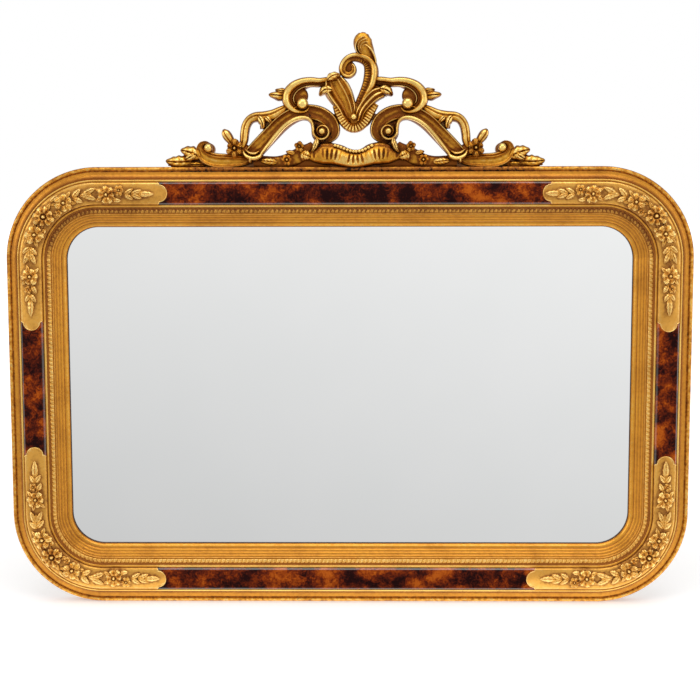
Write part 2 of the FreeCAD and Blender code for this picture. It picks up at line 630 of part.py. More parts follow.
wood_screws = []
wood_screw_holes = []
for heads, head_rise in ((left_heads + right_heads, STRAP_THICKNESS), (plate_heads, PLATE_THICKNESS)):
    for head in heads:
        wood_screws.append(screw(head, FORWARD, SCREW_LENGTH, head_rise))
        wood_screw_holes.append(screw_hole(head, FORWARD, SCREW_LENGTH, head_rise))

pivots = []
for side, places in (("top", (-1, 1)), ("right", (0,)), ("bottom", (-1, 1)), ("left", (0,))):
    start, along, inward, length = SIDES[side]
    for place in places:
        t = length / 2 * (1 + place * BUTTON_RAIL_SHARE)
        pivots.append((on_side(side, t, REBATE_START - BUTTON_PIVOT_INSET, 0), inward))

button_screws = []
button_holes = []
buttons = []
for pivot, inward in pivots:
    backward = FORWARD * -1
    head_foot = pivot + backward * (BUTTON_THICKNESS + 2 * BUTTON_GAP)
    shank = cylinder(head_foot, FORWARD, BUTTON_SCREW_RADIUS, BUTTON_SCREW_LENGTH)
    head = Part.makeCone(BUTTON_HEAD_RADIUS, BUTTON_HEAD_RADIUS / 2, BUTTON_HEAD_RISE, head_foot, backward)
    button_screws.append(shank.fuse(head).removeSplitter())
    button_holes.append(cylinder(head_foot, FORWARD, BUTTON_SCREW_RADIUS + SCREW_CLEARANCE,
                                 BUTTON_SCREW_LENGTH + SCREW_CLEARANCE))
    half = BUTTON_WIDTH / 2
    aside = inward.cross(FORWARD)

    def on_button(t, v):
        return pivot + inward * t + aside * v + backward * BUTTON_GAP

    plan = [[(0, half)], [(-half, 0), (0, -half)], [(BUTTON_REACH, -half)],
            [(BUTTON_REACH + half, 0), (BUTTON_REACH, half)]]
    plate = outline(plan, on_button).extrude(backward * BUTTON_THICKNESS)
    bore_radius = BUTTON_SCREW_RADIUS + BUTTON_BORE_CLEARANCE
    bore = cylinder(pivot, backward, bore_radius, BUTTON_THICKNESS + 2 * BUTTON_GAP)
    buttons.append(plate.cut(bore))

holes = dowel_holes + wood_screw_holes + button_holes
steps = moulding_steps()
for side in SIDES:
    rail = straight(side, steps)
    block = corner(side, steps)
    save(SIDE_NODES[side], rail.cut([hole for hole in holes if hole.BoundBox.intersect(rail.BoundBox)]))
    save("corner_block_" + END_CORNERS[side][0],
         block.cut([hole for hole in dowel_holes if hole.BoundBox.intersect(block.BoundBox)]))
save("corner_dowels", Part.makeCompound(dowels))

# Cushion: tortoiseshell panels between corner pieces with tongue ends
cushion = cushion_steps()
corner_cushions = {}
for side in SIDES:
    length = SIDES[side][3]
    start_tip = END_CORNERS[PREVIOUS_SIDE[side]][2] - OUTER_RADIUS
    end_tip = length - (END_CORNERS[side][1] - OUTER_RADIUS)
    body = straight(side, cushion)
    save("panel_" + side, body.cut([tongue_prism(side, start_tip, 1), tongue_prism(side, end_tip, -1)]))
    following = NEXT_SIDE[side]
    next_tip = END_CORNERS[side][2] - OUTER_RADIUS
    arm = body.common(tongue_prism(side, end_tip, -1))
    next_arm = straight(following, cushion).common(tongue_prism(following, next_tip, 1))
    corner_cushions[side] = corner(side, cushion).multiFuse([arm, next_arm]).removeSplitter()
    save("corner_cushion_" + END_CORNERS[side][0], corner_cushions[side])

strip = strip_steps()
strips = [straight(side, strip) for side in SIDES] + [corner(side, strip) for side in SIDES]
save("sight_beading", Part.makeCompound(strips))


# Garlands: flowers and leaves on the corner cushions
def cushion_place(side, s):
    """Point on the cushion's crown line at a distance from the corner's diagonal, and the way along it."""
    length = SIDES[side][3]
    radius = OUTER_RADIUS - CHANNEL_MIDDLE
    bend = radius * math.pi / 4
    if s < -bend:
        return on_side(side, length + s + bend, CHANNEL_MIDDLE, CUSHION_CROWN), SIDES[side][1]
    if s > bend:
        following = NEXT_SIDE[side]
        return on_side(following, s - bend, CHANNEL_MIDDLE, CUSHION_CROWN), SIDES[following][1]
    angle = math.pi / 4 + s / radius
    along, outward = SIDES[side][1], SIDES[side][2] * -1
    centre = on_side(side, length, OUTER_RADIUS, CUSHION_CROWN)
    point = centre + (outward * math.cos(angle) + along * math.sin(angle)) * radius
    return point, along * math.cos(angle) - outward * math.sin(angle)


def leaf(middle, way, length):
    """Pointed leaf: an arc turned half round its chord, which lies along the cushion's crown."""
    aside = FORWARD.cross(way) * (LEAF_PLUMP_SHARE * length)
    first = middle - way * (length / 2)
    last = middle + way * (length / 2)
    edges = [Part.Arc(first, middle + aside, last).toShape(), Part.LineSegment(last, first).toShape()]
    return Part.Face(Part.Wire(edges)).revolve(middle, way, HALF_TURN)


for side in SIDES:
    garland = []
    to_rail = 1 if NEXT_SIDE[side] in ("top", "bottom") else -1
    for s_share, radius_share in GARLAND_FLOWER_SHARES:
        point, way = cushion_place(side, to_rail * s_share * CHANNEL_WIDTH)
        garland.append(flower(point, FORWARD, way, radius_share * CHANNEL_WIDTH))
    for s_share, length_share in GARLAND_LEAF_SHARES:
        point, way = cushion_place(side, to_rail * s_share * CHANNEL_WIDTH)
        garland.append(leaf(point, way, length_share * CHANNEL_WIDTH))
    save("garland_" + END_CORNERS[side][0], Part.makeCompound(garland))


# Glass, packing, back board and wedges in the rebate
def rounded_plate(clearance, back, thickness):
    """Plate that fills the rebate's outline, less a clearance."""
    half_x = HALF_WIDTH - REBATE_START - clearance
    half_z = HALF_HEIGHT - REBATE_START - clearance
    radius = SIGHT_RADIUS + REBATE_WIDTH - clearance
    near = radius * ROUND_MIDDLE_SHARE
    flat_x = half_x - radius
    flat_z = half_z - radius
    plan = [
        [(-flat_x - near, flat_z + near), (-flat_x, half_z)],
        [(flat_x, half_z)],
        [(flat_x + near, flat_z + near), (half_x, flat_z)],
        [(half_x, -flat_z)],
        [(flat_x + near, -flat_z - near), (flat_x, -half_z)],
        [(-flat_x, -half_z)],
        [(-flat_x - near, -flat_z - near), (-half_x, -flat_z)],
        [(-half_x, flat_z)],
    ]
    return outline(plan, lambda x, z: V(x, y_at(back), z)).extrude(FORWARD * thickness)


glass_back = BACK_BOARD_THICKNESS + PACKING_THICKNESS
save("mirror_glass", rounded_plate(GLASS_CLEARANCE, glass_back, GLASS_THICKNESS))
save("packing_sheet", rounded_plate(GLASS_CLEARANCE, BACK_BOARD_THICKNESS, PACKING_THICKNESS))
save("back_board", rounded_plate(BACK_BOARD_CLEARANCE, 0, BACK_BOARD_THICKNESS))

wedges = []
for side, (start, along, inward, length) in SIDES.items():
    for place in (-1, 1):
        t = length / 2 * (1 + place * WEDGE_SPREAD_SHARE)
        plan = [[(t - WEDGE_LENGTH / 2, 0)], [(t + WEDGE_LENGTH / 2, 0)],
                [(t + WEDGE_LENGTH / 2, GLASS_CLEARANCE)], [(t - WEDGE_LENGTH / 2, GLASS_CLEARANCE)]]
        base = outline(plan, lambda way, depth_in: on_side(side, way, REBATE_START + depth_in, glass_back))
        wedges.append(base.extrude(FORWARD * GLASS_THICKNESS))
save("glass_wedges", Part.makeCompound(wedges))

# Back fittings
for number, button in enumerate(buttons, 1):
    save("turn_button_" + str(number), button)
save("turn_button_screws", Part.makeCompound(button_screws))
save("hanger_strap_left", left_strap)
save("hanger_strap_right", right_strap)
save("hanger_ring_left", left_ring)
save("hanger_ring_right", right_ring)
save("wood_screws", Part.makeCompound(wood_screws))

bumpers = []
diagonal = (OUTER_RADIUS - CHANNEL_MIDDLE) * ROUND_MIDDLE_SHARE
for x_sign in (-1, 1):
    for z_sign in (-1, 1):
        foot = V(x_sign * (RAIL_HALF + diagonal), y_at(0), z_sign * (STILE_HALF + diagonal))
        bumpers.append(Part.makeCone(BUMPER_RADIUS, BUMPER_FACE_RADIUS, BUMPER_HEIGHT, foot, FORWARD * -1))
save("wall_bumpers", Part.makeCompound(bumpers))

plates = []
for x in plate_xs:
    plate = Part.makeBox(PLATE_WIDTH, PLATE_THICKNESS, PLATE_RISE + PLATE_DROP,
                         V(x - PLATE_WIDTH / 2, y_at(0), HALF_HEIGHT - PLATE_DROP))
    plates.append(plate.cut([hole for hole in wood_screw_holes if hole.BoundBox.intersect(plate.BoundBox)]))
save("crest_plates", Part.makeCompound(plates))

# Crest: carved pieces on a fretted board that stands on the top rail
arm_stations = ARM_SHARES + volute_stations()
below = Part.makeBox(2 * CREST_WIDTH, CREST_WIDTH, CREST_HEIGHT,
                     V(CREST_OFFSET - CREST_WIDTH, -CREST_WIDTH, HALF_HEIGHT - CREST_HEIGHT))

shell = clear_of(band(SHELL_SHARES, SHELL_RELIEF), [below])
save("crest_shell", shell)


def crest_side(side_sign):
    """Carved pieces of one side of the crest, by name; each gives way to those carved before it."""
    arm = clear_of(band(flipped_all(arm_stations, side_sign), ARM_RELIEF), [shell])
    eye = clear_of(dome(flipped(VOLUTE_SHARES, side_sign), VOLUTE_EYE_SHARE, ARM_RELIEF), [arm])
    ball = dome(flipped(BALL_SHARES, side_sign), BALL_RADIUS_SHARE, LEAF_SCROLL_RELIEF)
    leaf_bud = band(flipped_all(LEAF_BUD_SHARES, side_sign), BUD_RELIEF)
    leaf_scroll = band(flipped_all(LEAF_SCROLL_SHARES, side_sign), LEAF_SCROLL_RELIEF).multiFuse([ball, leaf_bud])
    leaf_scroll = clear_of(leaf_scroll, [arm])
    sprig = crest_flower(flipped(SPRIG_FLOWER_SHARES, side_sign), SPRIG_FLOWER_RADIUS_SHARE, SWAG_RELIEF)
    sprig_bud = band(flipped_all(SPRIG_BUD_SHARES, side_sign), BUD_RELIEF)
    tendril = band(flipped_all(TENDRIL_SHARES, side_sign), TENDRIL_RELIEF).multiFuse([sprig, sprig_bud])
    tendril = clear_of(tendril, [arm, leaf_scroll])
    low_place = flipped(SWAG_LOW_FLOWER_SHARES, side_sign)
    low_flower = crest_flower(low_place, SWAG_LOW_FLOWER_RADIUS_SHARE, SWAG_RELIEF)
    high_place = flipped(SWAG_HIGH_FLOWER_SHARES, side_sign)
    high_flower = crest_flower(high_place, SWAG_HIGH_FLOWER_RADIUS_SHARE, SWAG_RELIEF)
    swag = band(flipped_all(SWAG_SHARES, side_sign), SWAG_RELIEF).multiFuse([low_flower, high_flower])
    swag = clear_of(swag, [below, arm, shell])
    end_eye = dome(flipped(END_EYE_SHARES, side_sign), END_EYE_RADIUS_SHARE, END_SCROLL_RELIEF)
    end_scroll = band(flipped_all(END_SCROLL_SHARES, side_sign), END_SCROLL_RELIEF)
    end_scroll = clear_of(end_scroll, [below, tendril, arm, swag])
    end_leaf = clear_of(band(flipped_all(END_LEAF_SHARES, side_sign), END_LEAF_RELIEF), [below, end_scroll])
    return {"arm": arm, "eye": eye, "leaf_scroll": leaf_scroll, "tendril": tendril, "swag": swag,
            "end_scroll": end_scroll, "end_eye": clear_of(end_eye, [end_scroll]), "end_leaf": end_leaf}


carved = {"left": crest_side(-1), "right": crest_side(1)}
for hand, pieces in carved.items():
    save("crest_arm_" + hand, Part.makeCompound([pieces["arm"], pieces["eye"]]))
    save("crest_end_scroll_" + hand, Part.makeCompound([pieces["end_scroll"], pieces["end_eye"]]))
    for name in ("leaf_scroll", "tendril", "swag", "end_leaf"):
        save("crest_" + name + "_" + hand, pieces[name])

both_arms = [pieces["arm"] for pieces in carved.values()]
both_scrolls = [pieces["leaf_scroll"] for pieces in carved.values()]
left_leaf = clear_of(band(LEFT_LEAF_SHARES, PLUME_LEAF_RELIEF), both_scrolls + both_arms)
right_leaf = clear_of(band(RIGHT_LEAF_SHARES, PLUME_LEAF_RELIEF), [left_leaf] + both_scrolls + both_arms)
plume = band(PLUME_SHARES, PLUME_RELIEF).fuse(band(FINIAL_SHARES, FINIAL_RELIEF))
plume = clear_of(plume, [left_leaf, right_leaf] + both_scrolls)
cup = clear_of(band(CUP_SHARES, CUP_RELIEF), [left_leaf, right_leaf, plume, shell] + both_arms)
save("crest_cup", cup)
save("crest_plume", plume)
save("crest_leaf_left", left_leaf)
save("crest_leaf_right", right_leaf)

patches = [board_patch(stations) for stations in (SHELL_SHARES, CUP_SHARES, LEFT_LEAF_SHARES, RIGHT_LEAF_SHARES,
                                                  PLUME_SHARES, FINIAL_SHARES, MIDDLE_WEB_SHARES)]
side_bands = [arm_stations, LEAF_SCROLL_SHARES, LEAF_BUD_SHARES, TENDRIL_SHARES, SPRIG_BUD_SHARES, SWAG_SHARES,
              END_SCROLL_SHARES, END_LEAF_SHARES] + WEB_SHARES
side_discs = [(VOLUTE_SHARES, VOLUTE_DISC_SHARE), (BALL_SHARES, BALL_RADIUS_SHARE),
              (SPRIG_FLOWER_SHARES, SPRIG_FLOWER_RADIUS_SHARE), (END_EYE_SHARES, END_DISC_SHARE)]
for side_sign in (-1, 1):
    patches += [board_patch(flipped_all(stations, side_sign)) for stations in side_bands]
    patches += [board_disc(flipped(shares, side_sign), radius_share) for shares, radius_share in side_discs]
foot_left = crest_point(-FOOT_LENGTH_SHARE, 0) + V(0, y_at(CREST_BOARD_THICKNESS), 0)
foot_length = FOOT_LENGTH_SHARE * CREST_WIDTH
foot = Part.makeBox(foot_length, CREST_BOARD_THICKNESS, FOOT_HEIGHT_SHARE * CREST_HEIGHT, foot_left)
board = foot.multiFuse(patches).removeSplitter().cut(below)
board = board.cut([hole for hole in wood_screw_holes if hole.BoundBox.intersect(board.BoundBox)])
save("crest_board", board)
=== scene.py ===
import math

import bpy
import numpy as np
from mathutils import Matrix, Vector


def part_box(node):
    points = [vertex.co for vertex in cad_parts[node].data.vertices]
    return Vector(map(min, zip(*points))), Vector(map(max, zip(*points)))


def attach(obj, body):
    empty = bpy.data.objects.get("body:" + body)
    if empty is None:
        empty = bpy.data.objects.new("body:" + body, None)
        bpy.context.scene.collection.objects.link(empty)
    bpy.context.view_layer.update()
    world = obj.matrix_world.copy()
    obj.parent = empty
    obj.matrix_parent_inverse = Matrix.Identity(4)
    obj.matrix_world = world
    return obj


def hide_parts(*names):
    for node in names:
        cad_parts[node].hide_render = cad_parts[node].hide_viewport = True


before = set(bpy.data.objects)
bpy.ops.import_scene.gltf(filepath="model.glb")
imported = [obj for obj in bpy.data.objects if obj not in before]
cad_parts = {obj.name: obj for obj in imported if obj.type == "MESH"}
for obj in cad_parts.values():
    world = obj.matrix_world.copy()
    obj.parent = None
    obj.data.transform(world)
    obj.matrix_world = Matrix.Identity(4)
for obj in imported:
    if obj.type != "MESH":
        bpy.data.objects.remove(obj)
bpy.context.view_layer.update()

# A gilt wall mirror: a moulded frame with lacquered panels, flower garlands and a carved crest.
# Shapes are worked out in millimetres and put into the meshes in metres.
# On the moulding, u is the distance in from the outer edge and d the distance forward from its back.
# On the crest, x runs from its middle line, z up from the frame's top edge.
MM = 0.001


def low(node):
    """Lowest corner of a node's box, in millimetres."""
    return np.array(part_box(node)[0]) / MM


def high(node):
    """Highest corner of a node's box, in millimetres."""
    return np.array(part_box(node)[1]) / MM


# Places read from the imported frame
HALF_WIDTH = high("right_stile")[0]
HALF_HEIGHT = high("top_rail")[2]
RAIL_HALF = high("top_rail")[0]
STILE_HALF = high("right_stile")[2]
OUTER_RADIUS = HALF_WIDTH - RAIL_HALF
BACK = -high("top_rail")[1]
FLOOR = low("bottom_rail")[2]
CREST_MIDDLE = (low("crest_board")[0] + high("crest_board")[0]) / 2
CREST_GROUND = -low("crest_board")[1] - BACK
CROWN_DEPTH = -low("panel_top")[1] - BACK
CHANNEL_START = HALF_HEIGHT - high("panel_top")[2]
CHANNEL_END = HALF_HEIGHT - low("panel_top")[2]
CHANNEL_MIDDLE = (CHANNEL_START + CHANNEL_END) / 2
CROWN_RADIUS = OUTER_RADIUS - CHANNEL_MIDDLE
BEND = CROWN_RADIUS * math.pi / 4

# Members of the moulding
MOULDING_WIDTH = HALF_HEIGHT - low("top_rail")[2]
RIM_RADIUS = 3.5
SIDE_DEPTH = 22.0
COVE_CORNER = (8.0, 36.0)
COVE_RADIUS = 12.0
COVE_GROOVE = (0.4, 1.3)
OUTER_FILLET = (20.0, 23.0, 37.5)
CHANNEL_FLOOR = 33.0
INNER_FILLET = (58.0, 61.5, 36.5)
STRIP_CHANNEL = (61.5, 72.0, 33.2, 31.2)
STRIP_LIP = (72.0, 73.0, 32.0)
REEDS_TOP = (73.0, 29.5)
REED = (3.9, 3.1)
REED_COUNT = 3
REED_RISE = 0.8
SIGHT_BEAD_TOP = 19.0
SIGHT_BEAD_FOOT = 13.0
SIGHT_BEAD_RISE = 1.4
SIGHT_BEAD_STEP = 0.7
REBATE = (84.0, 11.0)
SOFT_CUTS = (0.5, 0.2)

# Cushion, its tongues and the fine strip
SHOULDER = 5.0
SHOULDER_RISE = 4.5
CROWN_RISE = 1.5
TONGUE_HALF = 12.5
TONGUE_LENGTH = 12.0
NOTCH_LENGTH = 3.5
RIM_BEAD_RADIUS = 0.9
RIM_BEAD_INSET = (1.0, 0.4)
RIM_BEAD_LIFT = 0.2
STRIP = (63.0, 70.5, 30.5)
STRIP_RISE = 3.3
STRIP_PITCH = 6.6
ROW_STEP = 6.0
SUNK = 0.2

SIDES = {
    "top_rail": ((-1, 1), (1, 0), (0, -1)),
    "right_stile": ((1, 1), (0, -1), (-1, 0)),
    "bottom_rail": ((1, -1), (-1, 0), (0, 1)),
    "left_stile": ((-1, -1), (0, 1), (1, 0)),
}
CORNERS = {"top_left": (-1, 1), "top_right": (1, 1), "bottom_left": (-1, -1), "bottom_right": (1, -1)}
TONGUE_TIPS = {
    "top_left": (low("panel_top")[0], high("panel_left")[2]),
    "top_right": (high("panel_top")[0], high("panel_right")[2]),
    "bottom_left": (low("panel_bottom")[0], low("panel_left")[2]),
    "bottom_right": (high("panel_bottom")[0], low("panel_right")[2]),
}


# Outlines and the moulding's lines
def eased(count):
    """Places from -1 to 1 that draw closer towards both ends: part even steps, part steps of a sine."""
    even = np.linspace(-1, 1, count)
    return 0.3 * even + 0.7 * np.sin(even * math.pi / 2)


def arc(centre, radius, start, end, steps):
    """Points on a circle's arc between two angles in degrees."""
    angle = np.radians(np.linspace(start, end, steps))
    return np.stack([centre[0] + radius * np.cos(angle), centre[1] + radius * np.sin(angle)], 1)


def bulge(start, end, rise, steps):
    """Shallow bow over a chord: the chord plus a parabola that stands off it by rise."""
    start, end = np.array(start), np.array(end)
    t = np.linspace(0, 1, steps)[:, None]
    chord = end - start
    aside = np.array([-chord[1], chord[0]]) / np.hypot(*chord)
    return start + chord * t + aside * rise * 4 * t * (1 - t)


def soften(outline, cut):
    """Closed outline with every corner cut off, by at most cut and a third of the edge."""
    before = np.roll(outline, 1, 0) - outline
    after = np.roll(outline, -1, 0) - outline
    near = outline + before * np.minimum(cut / np.hypot(*before.T), 1 / 3)[:, None]
    far = outline + after * np.minimum(cut / np.hypot(*after.T), 1 / 3)[:, None]
    return np.stack([near, far], 1).reshape(-1, 2)


def moulding_outline():
    """Section of the moulding as a closed outline, from the rebate round the back: rim bead as an arc, cove
    as a quarter circle, straight fillets and channels, reeds and sight bead as shallow bows."""
    reeds = [np.array(REEDS_TOP) + np.array(REED) * (1, -1) * i for i in range(REED_COUNT + 1)]
    sight = (REBATE[0] + SIGHT_BEAD_STEP, SIGHT_BEAD_TOP)
    steps = [
        [(REBATE[0], 0), (0, 0)],
        arc((RIM_RADIUS, SIDE_DEPTH), RIM_RADIUS, 180, 20, 11),
        [(COVE_CORNER[0] - COVE_GROOVE[0], SIDE_DEPTH + COVE_GROOVE[1])],
        arc(COVE_CORNER, COVE_RADIUS, -90, 0, 13),
        [(OUTER_FILLET[0], OUTER_FILLET[2]), (OUTER_FILLET[1], OUTER_FILLET[2])],
        [(OUTER_FILLET[1], CHANNEL_FLOOR), (INNER_FILLET[0], CHANNEL_FLOOR)],
        [(INNER_FILLET[0], INNER_FILLET[2]), (INNER_FILLET[1], INNER_FILLET[2])],
        [(STRIP_CHANNEL[0], STRIP_CHANNEL[2]), (STRIP_CHANNEL[1], STRIP_CHANNEL[3])],
        [(STRIP_LIP[0], STRIP_LIP[2]), (STRIP_LIP[1], STRIP_LIP[2])],
        *[bulge(reeds[i], reeds[i + 1], REED_RISE, 7)[:-1] for i in range(REED_COUNT)],
        [reeds[-1]],
        bulge(sight, (MOULDING_WIDTH, SIGHT_BEAD_FOOT), SIGHT_BEAD_RISE, 10),
        [(MOULDING_WIDTH, REBATE[1]), REBATE],
    ]
    outline = np.vstack([np.array(step, float) for step in steps])
    return soften(soften(outline, SOFT_CUTS[0]), SOFT_CUTS[1])


def side_line(side, s):
    """Outer edge and inward direction at distance s along a straight side, from its start."""
    start, along, inward = (np.array(v, float) for v in SIDES[side])
    outer = start * (HALF_WIDTH, HALF_HEIGHT) + along * (OUTER_RADIUS + s[..., None])
    return outer, np.broadcast_to(inward, outer.shape)


def corner_line(corner, s):
    """Outer edge and inward direction at distance s along the cushion's crown line from a corner's diagonal:
    round the arc, then straight on along the rail for s > BEND and along the stile for s < -BEND."""
    sx, sz = CORNERS[corner]
    angle = math.pi / 4 + np.clip(s, -BEND, BEND) / CROWN_RADIUS
    out = np.stack([sx * np.cos(angle), sz * np.sin(angle)], -1)
    straight = np.stack([sx * np.maximum(s - BEND, 0), sz * np.maximum(-s - BEND, 0)], -1)
    return np.array([sx * RAIL_HALF, sz * STILE_HALF]) + OUTER_RADIUS * out - straight, -out


def on_moulding(line, u, d):
    """Points at u and d on the moulding, for lines given as (outer edge, inward direction)."""
    outer, inward = line
    x = outer[..., 0] + inward[..., 0] * u
    z = outer[..., 1] + inward[..., 1] * u
    return np.stack([x, np.broadcast_to(-(BACK + d), x.shape), z], -1)


def cushion_depth(u):
    """Depth of the cushion's face: a shallow parabola across the crown, then quarter ellipses down the
    shoulders."""
    v = np.abs(u - CHANNEL_MIDDLE)
    flat = (CHANNEL_END - CHANNEL_START) / 2 - SHOULDER
    top = CROWN_DEPTH - CROWN_RISE
    crown = CROWN_DEPTH - CROWN_RISE * (v / flat) ** 2
    fall = SHOULDER_RISE * (1 - np.sqrt(np.clip(1 - ((v - flat) / SHOULDER) ** 2, 0, 1)))
    return np.where(v < flat, crown, top - fall)


def on_cushion(corner, flat):
    """Lays a flat carving (along, across, height) on a corner's cushion."""
    u = CHANNEL_MIDDLE + flat[..., 1]
    return on_moulding(corner_line(corner, flat[..., 0]), u, cushion_depth(u) + flat[..., 2])


def on_crest(flat, hand=1):
    """Stands a flat carving (x, z, height) on the crest board; hand -1 turns it over to the other side."""
    return np.stack([CREST_MIDDLE + hand * flat[..., 0], -(BACK + CREST_GROUND + flat[..., 2]),
                     HALF_HEIGHT + flat[..., 1]], -1)


# Carved forms, each a closed skin of rows that are loops: (along, across, height)
ACROSS = eased(37)
FOOT = -0.8


def smooth_path(stations, count):
    """Catmull-Rom curve through the stations; every column is blended with the same weights."""
    p = np.array(stations, float)
    p = np.vstack([2 * p[0] - p[1], p, 2 * p[-1] - p[-2]])
    t = np.linspace(0, len(p) - 3, count)
    i = np.minimum(t.astype(int), len(p) - 4)
    f = (t - i)[:, None]
    a, b, c, d = p[i], p[i + 1], p[i + 2], p[i + 3]
    squared = 2 * a - 5 * b + 4 * c - d
    cubed = 3 * b - a - 3 * c + d
    return 0.5 * (2 * b + (c - a) * f + squared * f ** 2 + cubed * f ** 3)


def carry(x, z, half, height):
    """A section carried along a path: each row crosses it from -half to half, stands height above the ground,
    and two points at the foot close it into a loop."""
    dx, dz = np.gradient(x), np.gradient(z)
    length = np.hypot(dx, dz)
    across = half[:, None] * ACROSS
    front = np.stack([x[:, None] - (dz / length)[:, None] * across,
                      z[:, None] + (dx / length)[:, None] * across, height], -1)
    back = front[:, [-1, 0]].copy()
    back[..., 2] = FOOT
    return np.concatenate([front, back], 1)


def band(stations, relief, section, count=72):
    """Band along stations (x, z, half width). Its front rises by relief, less where it is narrow,
    times section(b, s): b from -1 to 1 across, s the distance along in millimetres."""
    x, z, half = smooth_path(stations, count).T
    half = np.maximum(half, 0.4)
    s = np.concatenate([[0], np.cumsum(np.hypot(np.diff(x), np.diff(z)))])
    rise = relief * np.sqrt(half / half.max())
    return carry(x, z, half, rise[:, None] * section(ACROSS[None, :], s[:, None]))


def leaf(root, tip, half, relief, veins=5, bend=0.0, lift=0.0):
    """Leaf from root to tip: its midrib bows as a parabola, its width is a sine with small lobes, and its
    blade arches from edge to edge with slanting cosine veins and a sunk midrib."""
    root, tip = np.array(root, float), np.array(tip, float)
    t = np.linspace(0, 1, 9 * veins + 4)
    way = tip - root
    aside = np.array([-way[1], way[0]]) / np.hypot(*way)
    x, z = (root + way * t[:, None] + aside * (bend * 4 * t * (1 - t))[:, None]).T
    lobes = 1 + 0.07 * np.cos(2 * math.pi * veins * t)
    width = half * np.sin(math.pi * (0.06 + 0.925 * t) ** 0.85) ** 0.6 * lobes
    b = np.abs(ACROSS)[None, :]
    vein = 0.5 + 0.5 * np.cos(2 * math.pi * (veins * t[:, None] - 0.8 * b))
    arch = 0.30 + 0.70 * np.sqrt(np.clip(1 - b ** 2.2, 0, 1))
    blade = arch * (0.89 + 0.11 * vein) - 0.24 * np.exp(-(b / 0.11) ** 2)
    shape = np.sin(math.pi * (0.12 + 0.80 * t)) ** 0.6
    return carry(x, z, width, lift + relief * shape[:, None] * blade * arris(b))


def flower(centre, radius, petals, relief, turn=0.0, lift=0.0, core=0.27):
    """Flower as a polar surface: lobed rim, cupped and ribbed petals with valleys between, a raised heart."""
    theta = np.linspace(0, 2 * math.pi, petals * 14, endpoint=False)
    r = np.concatenate([np.linspace(0.04, core * 1.25, 6), np.linspace(core * 1.5, 1, 11)])[:, None]
    lobe = np.abs(np.cos(petals * (theta - turn) / 2))
    uneven = 1 + 0.07 * np.cos(2 * theta + centre[0]) + 0.05 * np.cos(3 * theta - centre[0])
    rim = radius * (0.78 + 0.22 * lobe ** 0.7) * uneven / 1.06
    heart = np.sqrt(np.clip(1 - (r / core) ** 2, 0, 1)) * 0.95
    cup = 0.46 + 0.40 * np.sin(math.pi * np.clip((r - 0.25) / 0.9, 0, 1)) ** 0.9
    ribs = uneven + 0.16 * np.cos(petals * 4 * (theta - turn)) * np.clip((r - 0.35) * 3, 0, 1)
    petal = cup * ribs * (1 - 0.44 * (1 - lobe) ** 1.3 * np.clip((r - 0.2) * 2.5, 0, 1))
    height = lift + relief * np.maximum(heart, np.where(r < core * 1.12, 0.36, petal))
    front = np.stack([centre[0] + r * rim * np.cos(theta), centre[1] + r * rim * np.sin(theta), height], -1)
    skirt = front[-1:].copy()
    skirt[..., 2] = FOOT
    return np.concatenate([front, skirt], 0)


def boss(centre, radius, relief, sides=16, rows=7):
    """Round boss: latitude rings of a ball on a short post."""
    latitude = np.linspace(math.pi / 2 - 0.15, 0, rows)
    theta = np.linspace(0, 2 * math.pi, sides, endpoint=False)
    ring = radius * np.cos(latitude)[:, None]
    height = np.maximum(relief - radius, 0) + min(radius, relief) * np.sin(latitude)[:, None]
    front = np.stack([centre[0] + ring * np.cos(theta), centre[1] + ring * np.sin(theta),
                      np.broadcast_to(height, (rows, sides))], -1)
    skirt = front[-1:].copy()
    skirt[..., 2] = FOOT
    return np.concatenate([front, skirt], 0)


def spiral(centre, start, sweep, radii, halves, steps):
    """Stations on a spiral that draws in evenly in proportion as it turns; angles in degrees."""
    part = np.linspace(0, 1, steps)
    angle = np.radians(start + sweep * part)
    radius = radii[0] * (radii[1] / radii[0]) ** part
    half = halves[0] * (halves[1] / halves[0]) ** part
    return [tuple(row) for row in np.stack([centre[0] + radius * np.cos(angle),
                                            centre[1] + radius * np.sin(angle), half], 1)]


# Sections of the carved bands: height as a share of the relief
def arris(b):
    """Full height across the band, rounded off to nothing along both edges."""
    return np.sqrt(np.clip(1 - np.abs(b) ** 8, 0, 1))


def rounded(b, s):
    """Half-round bar: a half ellipse on a low plinth."""
    return arris(b) * (0.45 + 0.55 * np.sqrt(1 - b * b))


def hollow(b, s):
    """Gouged band: a raised lip along both edges and fine gouge lines on a sunk floor."""
    lip = np.exp(-((np.abs(b) - 0.80) / 0.16) ** 2)
    return arris(b) * (0.50 + 0.36 * lip + 0.030 * np.cos(11 * b + 0.04 * s))


def double_lip(b, s):
    """Gouged band with two lips along its outer edge and one along the inner."""
    outer = np.exp(-((b + 0.83) / 0.12) ** 2) + 0.80 * np.exp(-((b + 0.46) / 0.10) ** 2)
    inner = np.exp(-((b - 0.80) / 0.15) ** 2)
    return arris(b) * (0.54 + 0.34 * (outer + inner) + 0.025 * np.cos(11 * b))


def fluted(b, s):
    """Leafy band with two soft folds and a raised edge."""
    return arris(b) * (0.58 + 0.26 * np.sqrt(1 - b * b) + 0.12 * np.cos(2.6 * math.pi * b + 0.5))


def grooved(b, s):
    """Round stem with one groove along it."""
    return arris(b) * (0.50 + 0.46 * np.sqrt(1 - b * b) - 0.16 * np.exp(-((b - 0.2) / 0.16) ** 2))


def left_folds(b, s):
    """Broad leaf: a thick rolled edge, a narrow ridge, a wide hollow and a thin ridge beside the plume."""
    ridges = 0.44 * np.exp(-((b - 0.76) / 0.18) ** 2) + 0.40 * np.exp(-((b - 0.30) / 0.12) ** 2)
    ridges = ridges + 0.30 * np.exp(-((b + 0.42) / 0.09) ** 2) + 0.40 * np.exp(-((b + 0.84) / 0.12) ** 2)
    return arris(b) * (0.50 + ridges + 0.02 * np.cos(15 * b + 0.03 * s))


